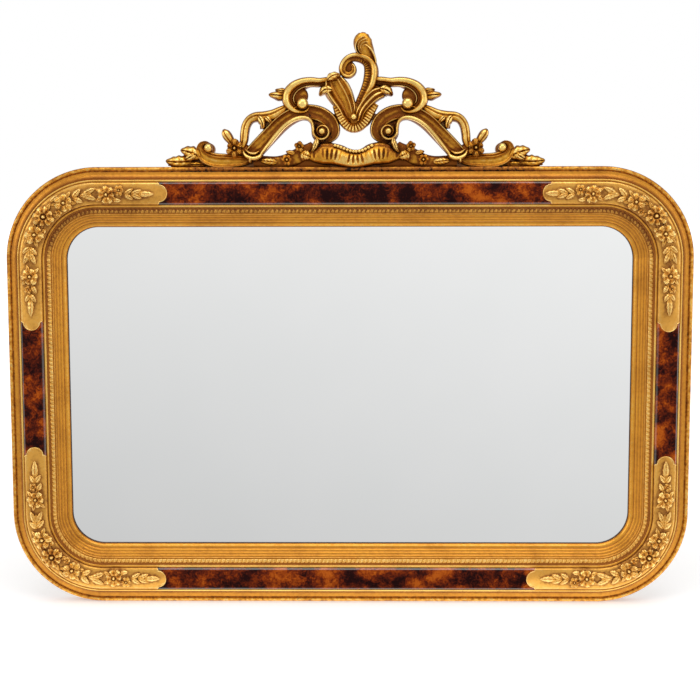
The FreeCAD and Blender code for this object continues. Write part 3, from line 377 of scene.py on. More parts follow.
def rolled(b, s):
    """Rolled leaf edge: a smooth round bar along the outer side, a hollow and a thin lip inside."""
    bar = np.sqrt(np.clip(1 - ((b + 0.36) / 0.64) ** 2, 0, 1))
    return arris(b) * np.maximum(0.44 + 0.30 * np.exp(-((b - 0.80) / 0.15) ** 2), 0.40 + 0.60 * bar)


def corded(b, s):
    """Band of round ribs across it, like a cord, with a smooth rim on its inner edge."""
    rim = np.exp(-((b - 0.82) / 0.13) ** 2)
    rib = np.abs(np.sin(math.pi * s / 4.4)) ** 0.6
    return arris(b) * (np.maximum(0.55 + 0.20 * rib * np.sqrt(1 - b * b), rim * 0.95))


def feathered(b, s):
    """Plume: a smooth round rim outside, close ribs inside that fade out towards its curl."""
    rim = np.sqrt(np.clip(1 - ((b + 0.42) / 0.58) ** 2, 0, 1))
    rib = np.abs(np.sin(math.pi * s / 4.6)) ** 0.7
    ribbed = 0.14 * rib * np.clip((108 - s) / 14, 0, 1)
    curl = 0.30 * np.clip((s - 96) / 30, 0, 1) * np.sqrt(1 - b * b)
    return arris(b) * np.maximum(0.44 + ribbed + curl, 0.40 + 0.60 * rim)


def shell_section(b, s):
    """Shell cuff: flares forward to its lower edge, with bunches of tapering flutes cut between ridges."""
    body = 0.62 + 0.38 * np.sin(math.pi * np.clip((0.70 - b) / 2.0, 0, 1)) ** 0.9
    across = np.abs((s / SHELL_FLUTE) % 1 - 0.5) * 2
    bunch = np.clip(1.1 + 1.1 * np.cos(2 * math.pi * (s - SHELL_BUNCH[0]) / SHELL_BUNCH[1]), 0, 1)
    reach = np.clip(1 - ((b + 0.06) / 0.56) ** 2, 0, 1)
    return arris(b) * (body - 0.14 * bunch * np.clip(reach - (across / 0.58) ** 2, 0, 1) ** 0.7)


# Closed skins of the frame
def sweep(line, outline):
    """The outline carried along a line: rows stand across the line, one for each of its points."""
    outer, inward = line
    return on_moulding((outer[:, None], inward[:, None]), outline[None, :, 0], outline[None, :, 1])


def strip_skin(line, s):
    """Fine strip of the sight: a half-round bar carved with slanting leaves and a vein between them."""
    b = np.sin(np.linspace(-math.pi / 2, math.pi / 2, 7))[None, :]
    along = s[:, None]
    phase = 2 * math.pi * along / STRIP_PITCH + 0.9 * np.sin(along / 23) + 0.6 * np.sin(along / 9.7)
    leaves = np.abs(np.cos(phase / 2 + 0.9 * b)) ** 0.8
    veins = 0.5 + 0.5 * np.cos(2 * phase - 2.2 * b)
    height = 0.30 + np.sqrt(1 - b * b) * (0.12 + 0.44 * leaves + 0.20 * veins)
    u = (STRIP[0] + STRIP[1]) / 2 + b * (STRIP[1] - STRIP[0]) / 2 + 0 * phase
    d = STRIP[2] + STRIP_RISE * height
    u = np.concatenate([u, u[:, [-1, 0]]], 1)
    d = np.concatenate([d, np.full((len(s), 2), STRIP[2] - SUNK)], 1)
    outer, inward = line
    return on_moulding((outer[:, None], inward[:, None]), u, d)


def tongue_back(v):
    """How far the end of a corner piece lies back from its tip: a round nose, then a hollow shoulder."""
    v = np.abs(v)
    nose = TONGUE_LENGTH * (1 - np.sqrt(np.clip(1 - (v / TONGUE_HALF) ** 2, 0, 1)))
    side = TONGUE_LENGTH + NOTCH_LENGTH * ((v - TONGUE_HALF) / SHOULDER) ** 2
    return np.where(v < TONGUE_HALF, nose, side)


def tongue_reach(corner):
    """Where a corner piece's two tongues end, as distances along the crown line from the diagonal."""
    tip_x, tip_z = TONGUE_TIPS[corner]
    shoulder = TONGUE_LENGTH + NOTCH_LENGTH
    return (BEND + RAIL_HALF - abs(tip_x) + shoulder, BEND + STILE_HALF - abs(tip_z) + shoulder)


def cushion_skin(corner):
    """Corner cushion from tongue to tongue; the first and last row fold its end walls down to the floor."""
    half = (CHANNEL_END - CHANNEL_START) / 2
    v = half * eased(45)
    rail, stile = tongue_reach(corner)
    share = np.linspace(0, 1, 190)[:, None]
    s = share * (rail - tongue_back(v)) - (1 - share) * (stile - tongue_back(v))
    d = np.broadcast_to(cushion_depth(CHANNEL_MIDDLE + v), s.shape)
    floor = np.full_like(s, CHANNEL_FLOOR - SUNK)
    s = np.concatenate([s, s[:, ::-1]], 1)
    u = CHANNEL_MIDDLE + np.concatenate([v, v[::-1]])[None, :] + 0 * s
    d = np.concatenate([d, floor], 1)
    s, u, d = (np.concatenate([g[:1], g, g[-1:]], 0) for g in (s, u, d))
    d[[0, -1]] = CHANNEL_FLOOR - SUNK
    return on_moulding(corner_line(corner, s), u, d)


def tongue_bead(corner, end):
    """Thin bead along the end of a corner piece: a small circle carried along the tongue's outline."""
    half = (CHANNEL_END - CHANNEL_START) / 2 - RIM_BEAD_INSET[1]
    v = half * np.sin(np.linspace(-math.pi / 2, math.pi / 2, 61))
    rail, stile = (reach - RIM_BEAD_INSET[0] for reach in tongue_reach(corner))
    s = (rail - tongue_back(v)) if end > 0 else -(stile - tongue_back(v))
    circle = np.linspace(0, 2 * math.pi, 9)[:-1]
    ds, dv = np.gradient(s), np.gradient(v)
    length = np.hypot(ds, dv)
    side = RIM_BEAD_RADIUS * np.cos(circle)[None, :]
    up = RIM_BEAD_RADIUS * np.sin(circle)[None, :]
    flat = np.stack([s[:, None] - (dv / length)[:, None] * side, v[:, None] + (ds / length)[:, None] * side,
                     RIM_BEAD_LIFT + up + 0 * s[:, None]], -1)
    return on_cushion(corner, flat)


# Garland of a corner: distance from the diagonal towards the rail, distance across towards the glass.
# Flowers: centre, radius, petals, relief, turn. Leaves: root, tip, half width.
GARLAND_FLOWERS = [
    ((-8.5, -0.8), 16.8, 8, 9, 0.3), ((29.5, 2.5), 14.8, 6, 8, 0.0), ((-39.5, 1), 15.2, 6, 8, 0.2),
    ((98, 2), 14, 7, 7.5, 0.1), ((-105, 0), 13.6, 6, 7.5, 0.4), ((117, -4.5), 8.6, 6, 5.5, 0.0),
    ((13, 11), 6, 5, 4.5, 0.5), ((-125, -3.5), 6.5, 5, 4.5, 0.2),
]
GARLAND_LEAVES = [
    ((46, 1), (60, -9), 5), ((46, 3), (59, 11), 5), ((62, 1), (82, -8), 4.8), ((62, 2), (83, 9.5), 4.8),
    ((58, 1.5), (76, 1.5), 4.6), ((126, 1), (139, -7), 4.2), ((126, 2), (139, 9), 4.2),
    ((136, 1), (152, -5), 4.2), ((136, 1.5), (152, 7.5), 4.2), ((146, 1), (170, 1), 5),
    ((-60, 0), (-70, -11), 4.8), ((-60, 0), (-71, 11), 4.8), ((-66, 0), (-86, -9), 4.8),
    ((-66, 0), (-86, 9), 4.8), ((-62, 0), (-82, 0), 4.4), ((-119, 3), (-131, 9), 4.4),
    ((-132, 0), (-143, -8), 4.4), ((-132, 0), (-144, 8), 4.4), ((-139, 0), (-166, 0), 5.2),
    ((14, -10), (27, -12.5), 3.6), ((-24, 11), (-33, 12.5), 3.6), ((108, 10), (120, 11), 3.8),
]
GARLAND_VEINS = 4
LEAF_RELIEF = 4.2
SPREAD_RELIEF = 3.8
SPREAD_REACH = 1.36
SPREAD_HALF = 0.30
SPREAD_LIMIT = 14


def spread_leaves(centre, radius, turn):
    """Leaves that stand out all round a flower, where they stay on the cushion."""
    (s, v), reach = centre, SPREAD_REACH * radius
    angles = turn + np.linspace(0.4, 2 * math.pi + 0.4, 7)[:-1]
    tips = [(s + reach * math.cos(angle), v + reach * math.sin(angle)) for angle in angles]
    return [leaf(centre, tip, SPREAD_HALF * radius, SPREAD_RELIEF, GARLAND_VEINS)
            for tip in tips if abs(tip[1]) < SPREAD_LIMIT]


def garland(corner):
    """All flowers and leaves of one corner, laid on its cushion; four of the flowers have a second row of
    petals."""
    carved = [flower(*bloom) for bloom in GARLAND_FLOWERS]
    carved += [leaf(root, tip, half, LEAF_RELIEF, GARLAND_VEINS) for root, tip, half in GARLAND_LEAVES]
    carved += [flower(centre, 0.56 * radius, 5, 0.42 * relief, turn + 0.4, 0.30 * relief, 0.42)
               for centre, radius, _, relief, turn in GARLAND_FLOWERS[1:5]]
    for centre, radius, _, _, turn in GARLAND_FLOWERS[:5]:
        carved += spread_leaves(centre, radius, turn)
    return [on_cushion(corner, flat) for flat in carved]


# Crest: stations (x, z, half width) of the left-hand side and of the middle
ARM = [(-170, 9, 8), (-164, 15, 10.5), (-155, 24, 12), (-142, 36.5, 13), (-127.5, 51.5, 13),
       (-113.5, 65.5, 13), (-99.5, 75.5, 12.5), (-85, 81.5, 12), (-69, 82.8, 12.2), (-54, 79.5, 12.5),
       (-41.5, 71.5, 12.2), (-34.5, 60, 11.4), (-34.5, 49.5, 10), (-42, 42, 6.4), (-50, 40, 4.5),
       (-57, 43.5, 3)]
ARM_LIP = [(-145, 18, 2.8), (-133.2, 32.4, 4.0), (-121.9, 46.5, 4.3), (-108.7, 60.9, 4.3), (-95.2, 70.2, 4.3),
           (-81.8, 74.2, 4.1), (-71.4, 72.6, 3.6), (-65.8, 66.3, 3.1)]
ARM_PADS = [((-47, 58), 19, 8, 24), ((-61, 67), 6, 6), ((-170, 24), 11, 8)]
VOLUTE = (-50.6, 53.4)
CUFF_FOLDS = [[(-172, 25, 1.6), (-167, 17, 3.6), (-157, 12.5, 4.8), (-147.5, 14.5, 4.4), (-141.5, 21.5, 2.0)],
              [(-168, 26, 1.2), (-161, 21, 2.6), (-153, 20, 2.8), (-147, 23.5, 1.4)],
              [(-160, 13, 3.2), (-160.5, 7.5, 2.8), (-159, 4.5, 1.2)]]
END_SCROLL = [(-164.5, 9, 6.2), (-178.8, 8.7, 9.3), (-197, 8.9, 11.3), (-214.5, 9.6, 12), (-229, 15, 11.2),
              (-237, 24.5, 7.8), (-236, 33, 5.4), (-229.8, 36.2, 3.6), (-223.5, 33.5, 3)]
END_EYE = (-224.6, 28.6)
TENDRIL = [(-174, 30, 5.4), (-170.6, 40, 6.6), (-169.6, 50, 7), (-167, 62.4, 7.2), (-161, 71.6, 7.2),
           (-152, 75.6, 7.8), (-139.5, 75.6, 9), (-126, 78.6, 8.6), (-114, 85, 7), (-103, 92, 4)]
TENDRIL_BUD = [(-186, 33, 4), (-191.5, 40.5, 6.4), (-196, 47, 7.4), (-199.5, 53, 6), (-201.5, 57, 2)]
SPRIG_FLOWER = (-184.6, 28.2)
LEAF_SCROLL = [(-26, 131, 5.4), (-40, 129.4, 7), (-54, 127.6, 7.2), (-67.8, 128.2, 7.8), (-81.5, 126, 8.6),
               (-93.6, 119.4, 9.8), (-101, 109, 10.6), (-101, 98, 10), (-94.5, 89.4, 8.4), (-84.5, 85, 6.4),
               (-75.4, 86, 4.8), (-70, 92.5, 3)]
BALL = (-80.0, 95.5)
SWAG = [(-156, 6, 7.5), (-138, 6.6, 9.6), (-120, 6.4, 10), (-104.4, 8.6, 11.4), (-90.7, 14, 12.8),
        (-79.3, 21, 12), (-70.8, 28, 9), (-64.9, 35.4, 4.6)]
SWAG_GROUND = [(-152, 4, 5), (-110, 4.6, 7), (-70, 6, 9), (-38, 7, 9)]
SHELL = [(-73, 17, 7), (-62, 18, 13), (-51, 19.5, 17), (-40, 19.5, 17.2), (-31, 18.4, 16.8),
         (-24, 16.8, 16.4), (-15, 13.8, 15.4), (-3, 11.2, 14.8), (9, 12.2, 14.4), (18, 15, 15.4),
         (27, 18.4, 17.2), (40, 20, 17.6), (53, 18.5, 15), (68, 17, 7)]
SHELL_FLUTE = 6.8
SHELL_BUNCH = (75.0, 38.0)
SHELL_BEADS = (-31, 25, 13)
CUP = [(-30, 93, 5), (-25, 82, 6.6), (-18.5, 69.5, 7), (-11, 61, 6.8), (-2, 58, 6.6), (7.5, 60.8, 6.8),
       (16, 69.5, 7), (23.5, 82, 6.6), (32, 95, 5)]
CUP_HEART = [(-3, 60, 5), (-2.5, 70, 13), (-1, 82, 14), (2, 96, 8)]
LEFT_LEAF = [(-4, 68, 8), (-10, 80.5, 12.5), (-13, 90, 15), (-17, 99, 17.5), (-22, 108, 19.5),
             (-28.5, 119, 20), (-33, 130, 16), (-35, 138, 8)]
RIGHT_LEAF = [(4, 69, 6.5), (9.5, 85, 8), (19.5, 98.5, 9.4), (30.5, 108.4, 10.4), (42, 113, 9)]
PLUME = [(2, 80, 6), (7.5, 96, 7.4), (15.5, 112, 8.8), (22.8, 128, 11), (25, 144.5, 11.2),
         (21.5, 156.5, 9.8), (12, 163.4, 8), (-2, 165.6, 6.8), (-13, 160.4, 6.4), (-18.8, 150, 6),
         (-17, 141.5, 5.8), (-9.5, 138.6, 5.6), (-2.8, 143, 5), (-2, 150, 4), (-5, 154.5, 2.6)]
FINIAL = [(27, 147, 5), (24.5, 159, 9), (17.5, 171, 13), (12.4, 184, 14.4), (12, 193, 13.4), (13, 200.5, 8)]
FINIAL_RIDGE = [(32, 156, 1.4), (29.5, 166, 2.0), (24, 176, 2.2), (17, 182, 1.6), (13, 179, 1.0)]
SWIRL = (16, 179)
SWIRL_RADII = (4.2, 8.2, 12.4, 16.4)

# Crest: how far its bands stand off the board
ARM_RELIEF, LIP_RELIEF, FOLD_RELIEF = 15, 18, 20
END_SCROLL_RELIEF, TENDRIL_RELIEF, LEAF_SCROLL_RELIEF = 16, 14, 16
SWAG_RELIEF, SWAG_GROUND_RELIEF, SHELL_RELIEF = 9, 5, 20
CUP_RELIEF, HEART_RELIEF, PLUME_LEAF_RELIEF = 15, 8, 17
PLUME_RELIEF, FINIAL_RELIEF, RIDGE_RELIEF, SWIRL_RELIEF = 15, 13, 18, 16.5


def mirrored_pair(make):
    """Both hands of a carving of the crest, given for the left."""
    return {"left": [on_crest(flat) for flat in make()], "right": [on_crest(flat, -1) for flat in make()]}


def bracket_arm():
    """Gouged arm that curls into a volute, a lip along its inside that winds on round the eye, and the
    folds of its cuff."""
    lip = ARM_LIP + spiral(VOLUTE, 165, 480, (14.0, 6.2), (3.0, 1.8), 22)
    return ([band(ARM, ARM_RELIEF, hollow, 110), band(lip, LIP_RELIEF, rounded, 150)]
            + [boss(*pad) for pad in ARM_PADS] + [boss(VOLUTE, 5, 19)]
            + [band(fold, FOLD_RELIEF, rounded, 36) for fold in CUFF_FOLDS])


def end_scroll():
    """Low scroll at the end of the crest, curled round its eye."""
    return [band(END_SCROLL, END_SCROLL_RELIEF, double_lip), boss(END_EYE, 6.4, 18)]


def end_leaves():
    """Four overlapping leaves beyond the end scroll."""
    return [leaf((-252, 9), (-291, 9.5), 10.4, 12, 4, 2), leaf((-237, 14), (-268, 25.5), 10.6, 14, 4, -2),
            leaf((-230, 3.6), (-270, 3), 5.6, 9, 5), leaf((-243, 20), (-262, 9.5), 7, 16, 3)]


def tendril():
    """Stem that rises from a flower, bends over and joins the arm, with a bud and two curled lobes."""
    bud = band(TENDRIL_BUD, TENDRIL_RELIEF, grooved, 30)
    lobes = [leaf((-149, 77), (-141, 57), 6.2, 16, 2, 3, 3), leaf((-138, 76), (-127.5, 65), 5.0, 15, 2, 1, 3)]
    sprig = flower(SPRIG_FLOWER, 14, 6, 13, 0.5, 4, 0.27)
    return [band(TENDRIL, TENDRIL_RELIEF, grooved), sprig, bud] + lobes


def leaf_scroll():
    """Rolled leaf that curls round a ball, with a low web inside the curl and a bud outside it."""
    bud = [leaf((-102, 106), (-132, 109.5), 7.6, 14, 2), leaf((-102, 113), (-122, 116.5), 5, 14, 2)]
    web = boss((-86, 107.5), 14.5, 5, 28)
    return [band(LEAF_SCROLL, LEAF_SCROLL_RELIEF, rolled, 110), boss(BALL, 8.6, 21), web] + bud


def swag():
    """Round swag on a low ground, with two flowers and five leaves on it."""
    flowers = [flower((-85.3, 30.5), 8.4, 5, 8, 0.2, 8, 0.26),
               flower((-104.6, 10.4), 8.6, 6, 7, 0.0, 8, 0.36)]
    leaves = [leaf((-82, 20), (-66, 14), 8, 8, 4, 0, 8), leaf((-78, 24), (-80, 9), 6, 8, 3, 0, 7),
              leaf((-120, 6.5), (-147, 9.5), 6, 7, 5, 0, 6), leaf((-58, 44), (-67, 21), 4.6, 10, 3, 2, 8),
              leaf((-92, 20), (-106, 23), 4, 6, 3, 0, 7)]
    ground = band(SWAG_GROUND, SWAG_GROUND_RELIEF, rounded, 30)
    return [band(SWAG, SWAG_RELIEF, rounded), ground] + flowers + leaves


def shell():
    """Fluted shell with a row of beads along the hollow of its upper edge."""
    x, z, half = smooth_path(SHELL, 200).T
    at = np.searchsorted(x, np.linspace(*SHELL_BEADS))
    beads = [boss((x[i], z[i] + half[i] * 0.80), 2.9, 16.5, 10, 5) for i in at]
    return [band(SHELL, SHELL_RELIEF, shell_section, 260)] + beads


def cup():
    """Ribbed cup at the root of the plume, with a heart inside it and a bead in front."""
    heart = band(CUP_HEART, HEART_RELIEF, rounded, 40)
    return [band(CUP, CUP_RELIEF, corded, 150), heart, boss((-2, 74.7), 4.4, 22)]


def left_plume_leaf():
    """Broad leaf to the left of the plume, with two curled tips."""
    return [band(LEFT_LEAF, PLUME_LEAF_RELIEF, left_folds), leaf((-34, 115), (-54, 107), 7.4, 17, 3, -5, 3),
            leaf((-42, 130), (-22, 138), 6.5, 16, 3, 3, 5)]


def right_plume_leaf():
    """Narrow leaf to the right of the plume, with one curled tip."""
    return [band(RIGHT_LEAF, PLUME_LEAF_RELIEF, fluted), leaf((37, 117), (57, 107), 8, 18, 3, 3, 3),
            boss((33, 119), 7, 6)]


def plume():
    """Ribbed plume that hooks over, and the finial behind it with a ridge and turned swirls."""
    swirl = [band(spiral(SWIRL, 30 + 4 * radius, 205 - 4 * radius, (radius, 0.86 * radius), (1.5, 1.0), 14),
                  SWIRL_RELIEF, rounded, 40) for radius in SWIRL_RADII]
    ridge = band(FINIAL_RIDGE, RIDGE_RELIEF, rounded, 40)
    return [band(PLUME, PLUME_RELIEF, feathered, 180), band(FINIAL, FINIAL_RELIEF, rounded),
            boss((-9, 150), 10, 4, 20), ridge] + swirl


# Meshes
PIECES = []


def piece(name, skins, nodes, materials, slot, back=None, stain_and_shade=0.0):
    """Notes a piece: its closed skins, the CAD nodes it stands for and its finish. It is meshed at the end,
    when the relief of the whole front is known."""
    PIECES.append({"name": name, "skins": skins, "nodes": nodes, "materials": materials, "slot": slot,
                   "back": back, "stain_and_shade": stain_and_shade})


def finer(skin, step):
    """The skin's rows and loops filled in by straight lines, to about the given spacing."""
    for axis in (0, 1):
        gap = np.linalg.norm(np.diff(skin, axis=axis), axis=-1)
        count = max(int(gap.max(axis=1 - axis).sum() / step), 2)
        at = np.linspace(0, skin.shape[axis] - 1, count)
        first = np.minimum(at.astype(int), skin.shape[axis] - 2)
        share = (at - first).reshape((-1, 1, 1) if axis == 0 else (1, -1, 1))
        skin = np.take(skin, first, axis) * (1 - share) + np.take(skin, first + 1, axis) * share
    return skin


# How much the narrow and the wide window count for each finish, and the darkest a hollow gets: hollows take
# patina and painted shade, also beside taller carving, and ridges take leaf rubbing and a painted highlight
RUBBING_AND_SHADE = {"gilt_moulding": (0.36, 0.0, -0.75), "gilt_cushion": (0.30, 0.16, -0.40),
           "gilt_flowers": (0.34, 0.14, -0.75), "gilt_carving": (0.34, 0.14, -0.75)}
# Lowest value once staining and painted shadow are added
DARKEST_STAIN_AND_SHADE = -1.8
# Edges that turn by more than this many degrees stay sharp
SHARP_ANGLE = 50
# Map of the front's relief: its cells, its two windows in cells, its margin and the room for the crest
CELL = 1.0
WINDOWS = (2, 6)
MAP_MARGIN = 20
CREST_ROOM = 220
MAP_LOW = np.array([-HALF_WIDTH - MAP_MARGIN, -HALF_HEIGHT - MAP_MARGIN])
MAP_SIZE = (int(2 * HALF_WIDTH + 2 * MAP_MARGIN), int(2 * HALF_HEIGHT + (2 * MAP_MARGIN + CREST_ROOM)))


def cells(points):
    """Map cells of points seen from the front."""
    cell = np.rint((points[..., [0, 2]] - MAP_LOW) / CELL).astype(int)
    return np.clip(cell[..., 0], 0, MAP_SIZE[0] - 1), np.clip(cell[..., 1], 0, MAP_SIZE[1] - 1)


def blurred(field, reach):
    """Field averaged over a square window, three times, by running sums."""
    for _ in range(3):
        for axis in (0, 1):
            margin = [(reach + 1, reach) if side == axis else (0, 0) for side in (0, 1)]
            total = np.cumsum(np.pad(field, margin, "edge"), axis)
            ahead = np.take(total, range(2 * reach + 1, total.shape[axis]), axis)
            behind = np.take(total, range(0, total.shape[axis] - 2 * reach - 1), axis)
            field = (ahead - behind) / (2 * reach + 1)
    return field


def front_relief():
    """Depth map of the front, and its averages over a narrow and a wide window where something is there."""
    depth = np.full(MAP_SIZE, -np.inf)
    for one in PIECES:
        for skin in one["skins"]:
            dense = finer(skin, 0.8 * CELL)
            np.maximum.at(depth, cells(dense), -dense[..., 1])
    there = np.isfinite(depth).astype(float)
    depth = np.where(there > 0, depth, 0)
    return [blurred(depth, reach) / np.maximum(blurred(there, reach), 1e-6) for reach in WINDOWS]


def rubbed_and_shaded(points, relief, counts):
    """How proud of its surroundings each point stands, from -1 in hollows to 1 on ridges; from it the gilding
    paints patina and shade into the hollows, and rubbing and a highlight onto the ridges.
    """
    at = cells(points)
    narrow, wide = (-points[..., 1] - level[at] for level in relief)
    return np.clip(counts[0] * narrow + counts[1] * wide, counts[2], 1)


def skin_faces(skin, first):
    """Quads between rows, and a cap on the first and last row, wound so that the volume is positive."""
    rows, loop = skin.shape[:2]
    index = np.arange(rows * loop).reshape(rows, loop) + first
    here, after = index[:-1], index[1:]
    quads = np.stack([here, np.roll(here, -1, 1), np.roll(after, -1, 1), after], -1).reshape(-1, 4)
    caps = [index[0, ::-1], index[-1]]
    flat = skin.reshape(-1, 3) - skin.reshape(-1, 3).mean(0)
    a, b, c, d = (flat[quads[:, k] - first] for k in range(4))
    volume = np.einsum("ij,ij->", a, np.cross(b, c)) + np.einsum("ij,ij->", a, np.cross(c, d))
    if volume < 0:
        return quads[:, ::-1], [cap[::-1] for cap in caps]
    return quads, caps


def gathered(one):
    """A piece's skins as one set of points, quads and caps, with the staining and painted light of each point
    and the raw wood of each quad."""
    points, quads, caps, wood, stain_and_shade, first = [], [], [], [], [], 0
    for skin in one["skins"]:
        skin_quads, skin_caps = skin_faces(skin, first)
        points.append(skin.reshape(-1, 3))
        quads.append(skin_quads)
        caps += skin_caps
        shift = one["stain_and_shade"](skin) if callable(one["stain_and_shade"]) else one["stain_and_shade"]
        stain_and_shade.append(np.broadcast_to(shift, skin.shape[:2]).ravel())
        if one["back"] is not None:
            wood.append(one["back"][(skin_quads - first) % skin.shape[1]].all(1))
        first += skin.shape[0] * skin.shape[1]
    return np.concatenate(points), np.concatenate(quads), caps, np.concatenate(stain_and_shade), wood


def filled_mesh(name, points, quads, caps):
    """New mesh from points in millimetres, quads and caps, put in as whole arrays."""
    corners = np.concatenate([quads.ravel(), *caps])
    totals = np.concatenate([np.full(len(quads), 4), [len(cap) for cap in caps]]).astype(np.int32)
    mesh = bpy.data.meshes.new(name)
    mesh.vertices.add(len(points))
    mesh.vertices.foreach_set("co", (points * MM).astype(np.float32).ravel())
    mesh.loops.add(len(corners))
    mesh.loops.foreach_set("vertex_index", corners.astype(np.int32))
    mesh.polygons.add(len(totals))
    mesh.polygons.foreach_set("loop_start", np.concatenate([[0], np.cumsum(totals)[:-1]]).astype(np.int32))
    mesh.polygons.foreach_set("loop_total", totals)
    return mesh


def add_values(mesh, name, values):
    """Gives each point a value that the materials can read."""
    mesh.attributes.new(name, "FLOAT", "POINT").data.foreach_set("value", values.astype(np.float32))


def mesh_piece(one, relief):
    """Meshes a piece with its ridges and hollows, its staining and its painted light as an attribute, and
    hands it to the frame.
    """
    points, quads, caps, stain_and_shade, wood = gathered(one)
    mesh = filled_mesh(one["name"], points, quads, caps)
    for finish in one["materials"]:
        mesh.materials.append(finish)
    if wood:
        index = np.concatenate([np.concatenate(wood), np.zeros(len(caps), bool)])
        mesh.polygons.foreach_set("material_index", index.astype(np.int32))
    tone_and_shade = rubbed_and_shaded(points, relief, RUBBING_AND_SHADE[one["materials"][0].name]) + stain_and_shade
    add_values(mesh, "rubbed_and_shaded", np.clip(tone_and_shade, DARKEST_STAIN_AND_SHADE, 1))
    if one["back"] is not None:
        add_values(mesh, "speckle", np.tile(ON_RIM, len(points) // len(ON_RIM)))
    mesh.update(calc_edges=True)
    mesh.validate()
    mesh.shade_smooth()
    mesh.set_sharp_from_angle(angle=math.radians(SHARP_ANGLE))
    made = bpy.data.objects.new(one["name"], mesh)
    bpy.context.scene.collection.objects.link(made)
    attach(made, "frame")
    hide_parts(*one["nodes"])


# Nodes of the materials
def feed(tree, sockets, values):
    """Sets sockets to values, or links them where a value is another node's socket."""
    for key, value in values.items():
        if isinstance(value, bpy.types.NodeSocket):
            tree.links.new(value, sockets[key])
        else:
            sockets[key].default_value = value


def put(tree, kind, inputs=None, **settings):
    """Adds a node with its settings and inputs."""
    made = tree.nodes.new("ShaderNode" + kind)
    for key, value in settings.items():
        setattr(made, key, value)
    feed(tree, made.inputs, inputs or {})
    return made


def calc(tree, operation, first, second=0.0, third=0.0):
    """One step of arithmetic."""
    return put(tree, "Math", {0: first, 1: second, 2: third}, operation=operation).outputs[0]


def wavering(tree, pattern, amount):
    """A pattern from 0 to 1 as a swing either way of nothing, times an amount."""
    return calc(tree, "MULTIPLY", calc(tree, "SUBTRACT", pattern, 0.5), amount)


def between(tree, value, start, end, to_start=0.0, to_end=1.0):
    """Maps a value from one range to another, held at the ends."""
    return put(tree, "MapRange", {"Value": value, "From Min": start, "From Max": end, "To Min": to_start,
                                  "To Max": to_end}).outputs[0]


def mixed(tree, share, first, second, mode="MIX"):
    """Two colours mixed by a share."""
    return put(tree, "Mix", {0: share, 6: first, 7: second}, data_type="RGBA", blend_type=mode).outputs[2]


def noise(tree, vector, scale, detail=4.0, roughness=0.55, distortion=0.0):
    """Cloudy pattern from 0 to 1."""
    return put(tree, "TexNoise", {"Vector": vector, "Scale": scale, "Detail": detail, "Roughness": roughness,
                                  "Distortion": distortion}).outputs["Fac"]


def stretched(tree, vector, scale):
    """Coordinates scaled along each axis."""
    return put(tree, "Mapping", {"Vector": vector, "Scale": scale}).outputs[0]


def shade(tree, value, stops):
    """Colour ramp over a value: stops are (place, colour)."""
    ramp = put(tree, "ValToRGB", {"Fac": value})
    for _ in stops[2:]:
        ramp.color_ramp.elements.new(0.5)
    for element, (place, colour) in zip(ramp.color_ramp.elements, stops):
        element.position = place
        element.color = (*colour, 1)
    return ramp.outputs[0]


def group(name, inputs, outputs):
    """New node group with named sockets: (name, socket type, value)."""
    tree = bpy.data.node_groups.new(name, "ShaderNodeTree")
    for label, kind, value in inputs:
        socket = tree.interface.new_socket(label, in_out="INPUT", socket_type="NodeSocket" + kind)
        socket.default_value = value
    for label, kind in outputs:
        tree.interface.new_socket(label, in_out="OUTPUT", socket_type="NodeSocket" + kind)
    return tree, tree.nodes.new("NodeGroupInput").outputs, tree.nodes.new("NodeGroupOutput").inputs


def use(tree, made_group, inputs):
    """Places a node group and gives it its own values."""
    return put(tree, "Group", inputs, node_tree=made_group).outputs


def material(name):
    """New material, its nodes and the inputs of its shader."""
    made = bpy.data.materials.new(name)
    made.use_nodes = True
    return made, made.node_tree, made.node_tree.nodes["Principled BSDF"].inputs


def bumped(tree, height, strength, distance):
    """Normal of a surface roughened by a height."""
    return put(tree, "Bump", {"Height": height, "Strength": strength, "Distance": distance}).outputs[0]


SURFACE = [("Color", "Color"), ("Roughness", "Float"), ("Height", "Float")]


def gilding_group():
    """Antique gold leaf: dark glaze and painted shade in hollows, warm leaf between, leaf rubbing and a
    painted highlight on ridges, near black painted shadow below -1, flecks of bole.
    """
    tree, given, out = group("gilding", [
        ("Rubbed And Shaded", "Float", 0.0), ("Hollow Color", "Color", (0.06, 0.018, 0.006, 1)),
        ("Leaf Color", "Color", (0.62, 0.27, 0.05, 1)), ("Ridge Color", "Color", (0.88, 0.60, 0.22, 1)),
        ("Flecks", "Float", 0.3), ("Mottle", "Float", 0.7)], SURFACE)
    place = put(tree, "TexCoord").outputs["Object"]
    cloudy = noise(tree, place, 22, 3)
    mottled = noise(tree, place, 190, 4, 0.6)
    grain = noise(tree, place, 900, 2)
    wear_and_shade = calc(tree, "ADD", given["Rubbed And Shaded"], wavering(tree, mottled, given["Mottle"]))
    body = mixed(tree, between(tree, wear_and_shade, -0.62, 0.05), given["Hollow Color"], given["Leaf Color"])
    body = mixed(tree, between(tree, wear_and_shade, 0.15, 0.75), body, given["Ridge Color"])
    # Near black below -1: painted shadow, mainly in the gap at the glass and under the crest
    body = mixed(tree, between(tree, wear_and_shade, -1.3, -1.0), (0.020, 0.007, 0.003, 1), body)
    clouds = shade(tree, cloudy, [(0.30, (0.80, 0.76, 0.70)), (0.52, (1, 1, 1)), (0.72, (1.0, 1.06, 1.10))])
    body = mixed(tree, 1.0, body, clouds, "MULTIPLY")
    fleck = calc(tree, "MULTIPLY", between(tree, mottled, 0.60, 0.74), given["Flecks"])
    rough = calc(tree, "MULTIPLY_ADD", fleck, 0.25, between(tree, wear_and_shade, -0.7, 0.7, 0.52, 0.25))
    height = calc(tree, "MULTIPLY_ADD", mottled, 0.8, calc(tree, "MULTIPLY", grain, 0.2))
    feed(tree, out, {"Color": mixed(tree, fleck, body, (0.16, 0.040, 0.014, 1)), "Height": height,
                     "Roughness": calc(tree, "ADD", rough, wavering(tree, grain, 0.12))})
    return tree


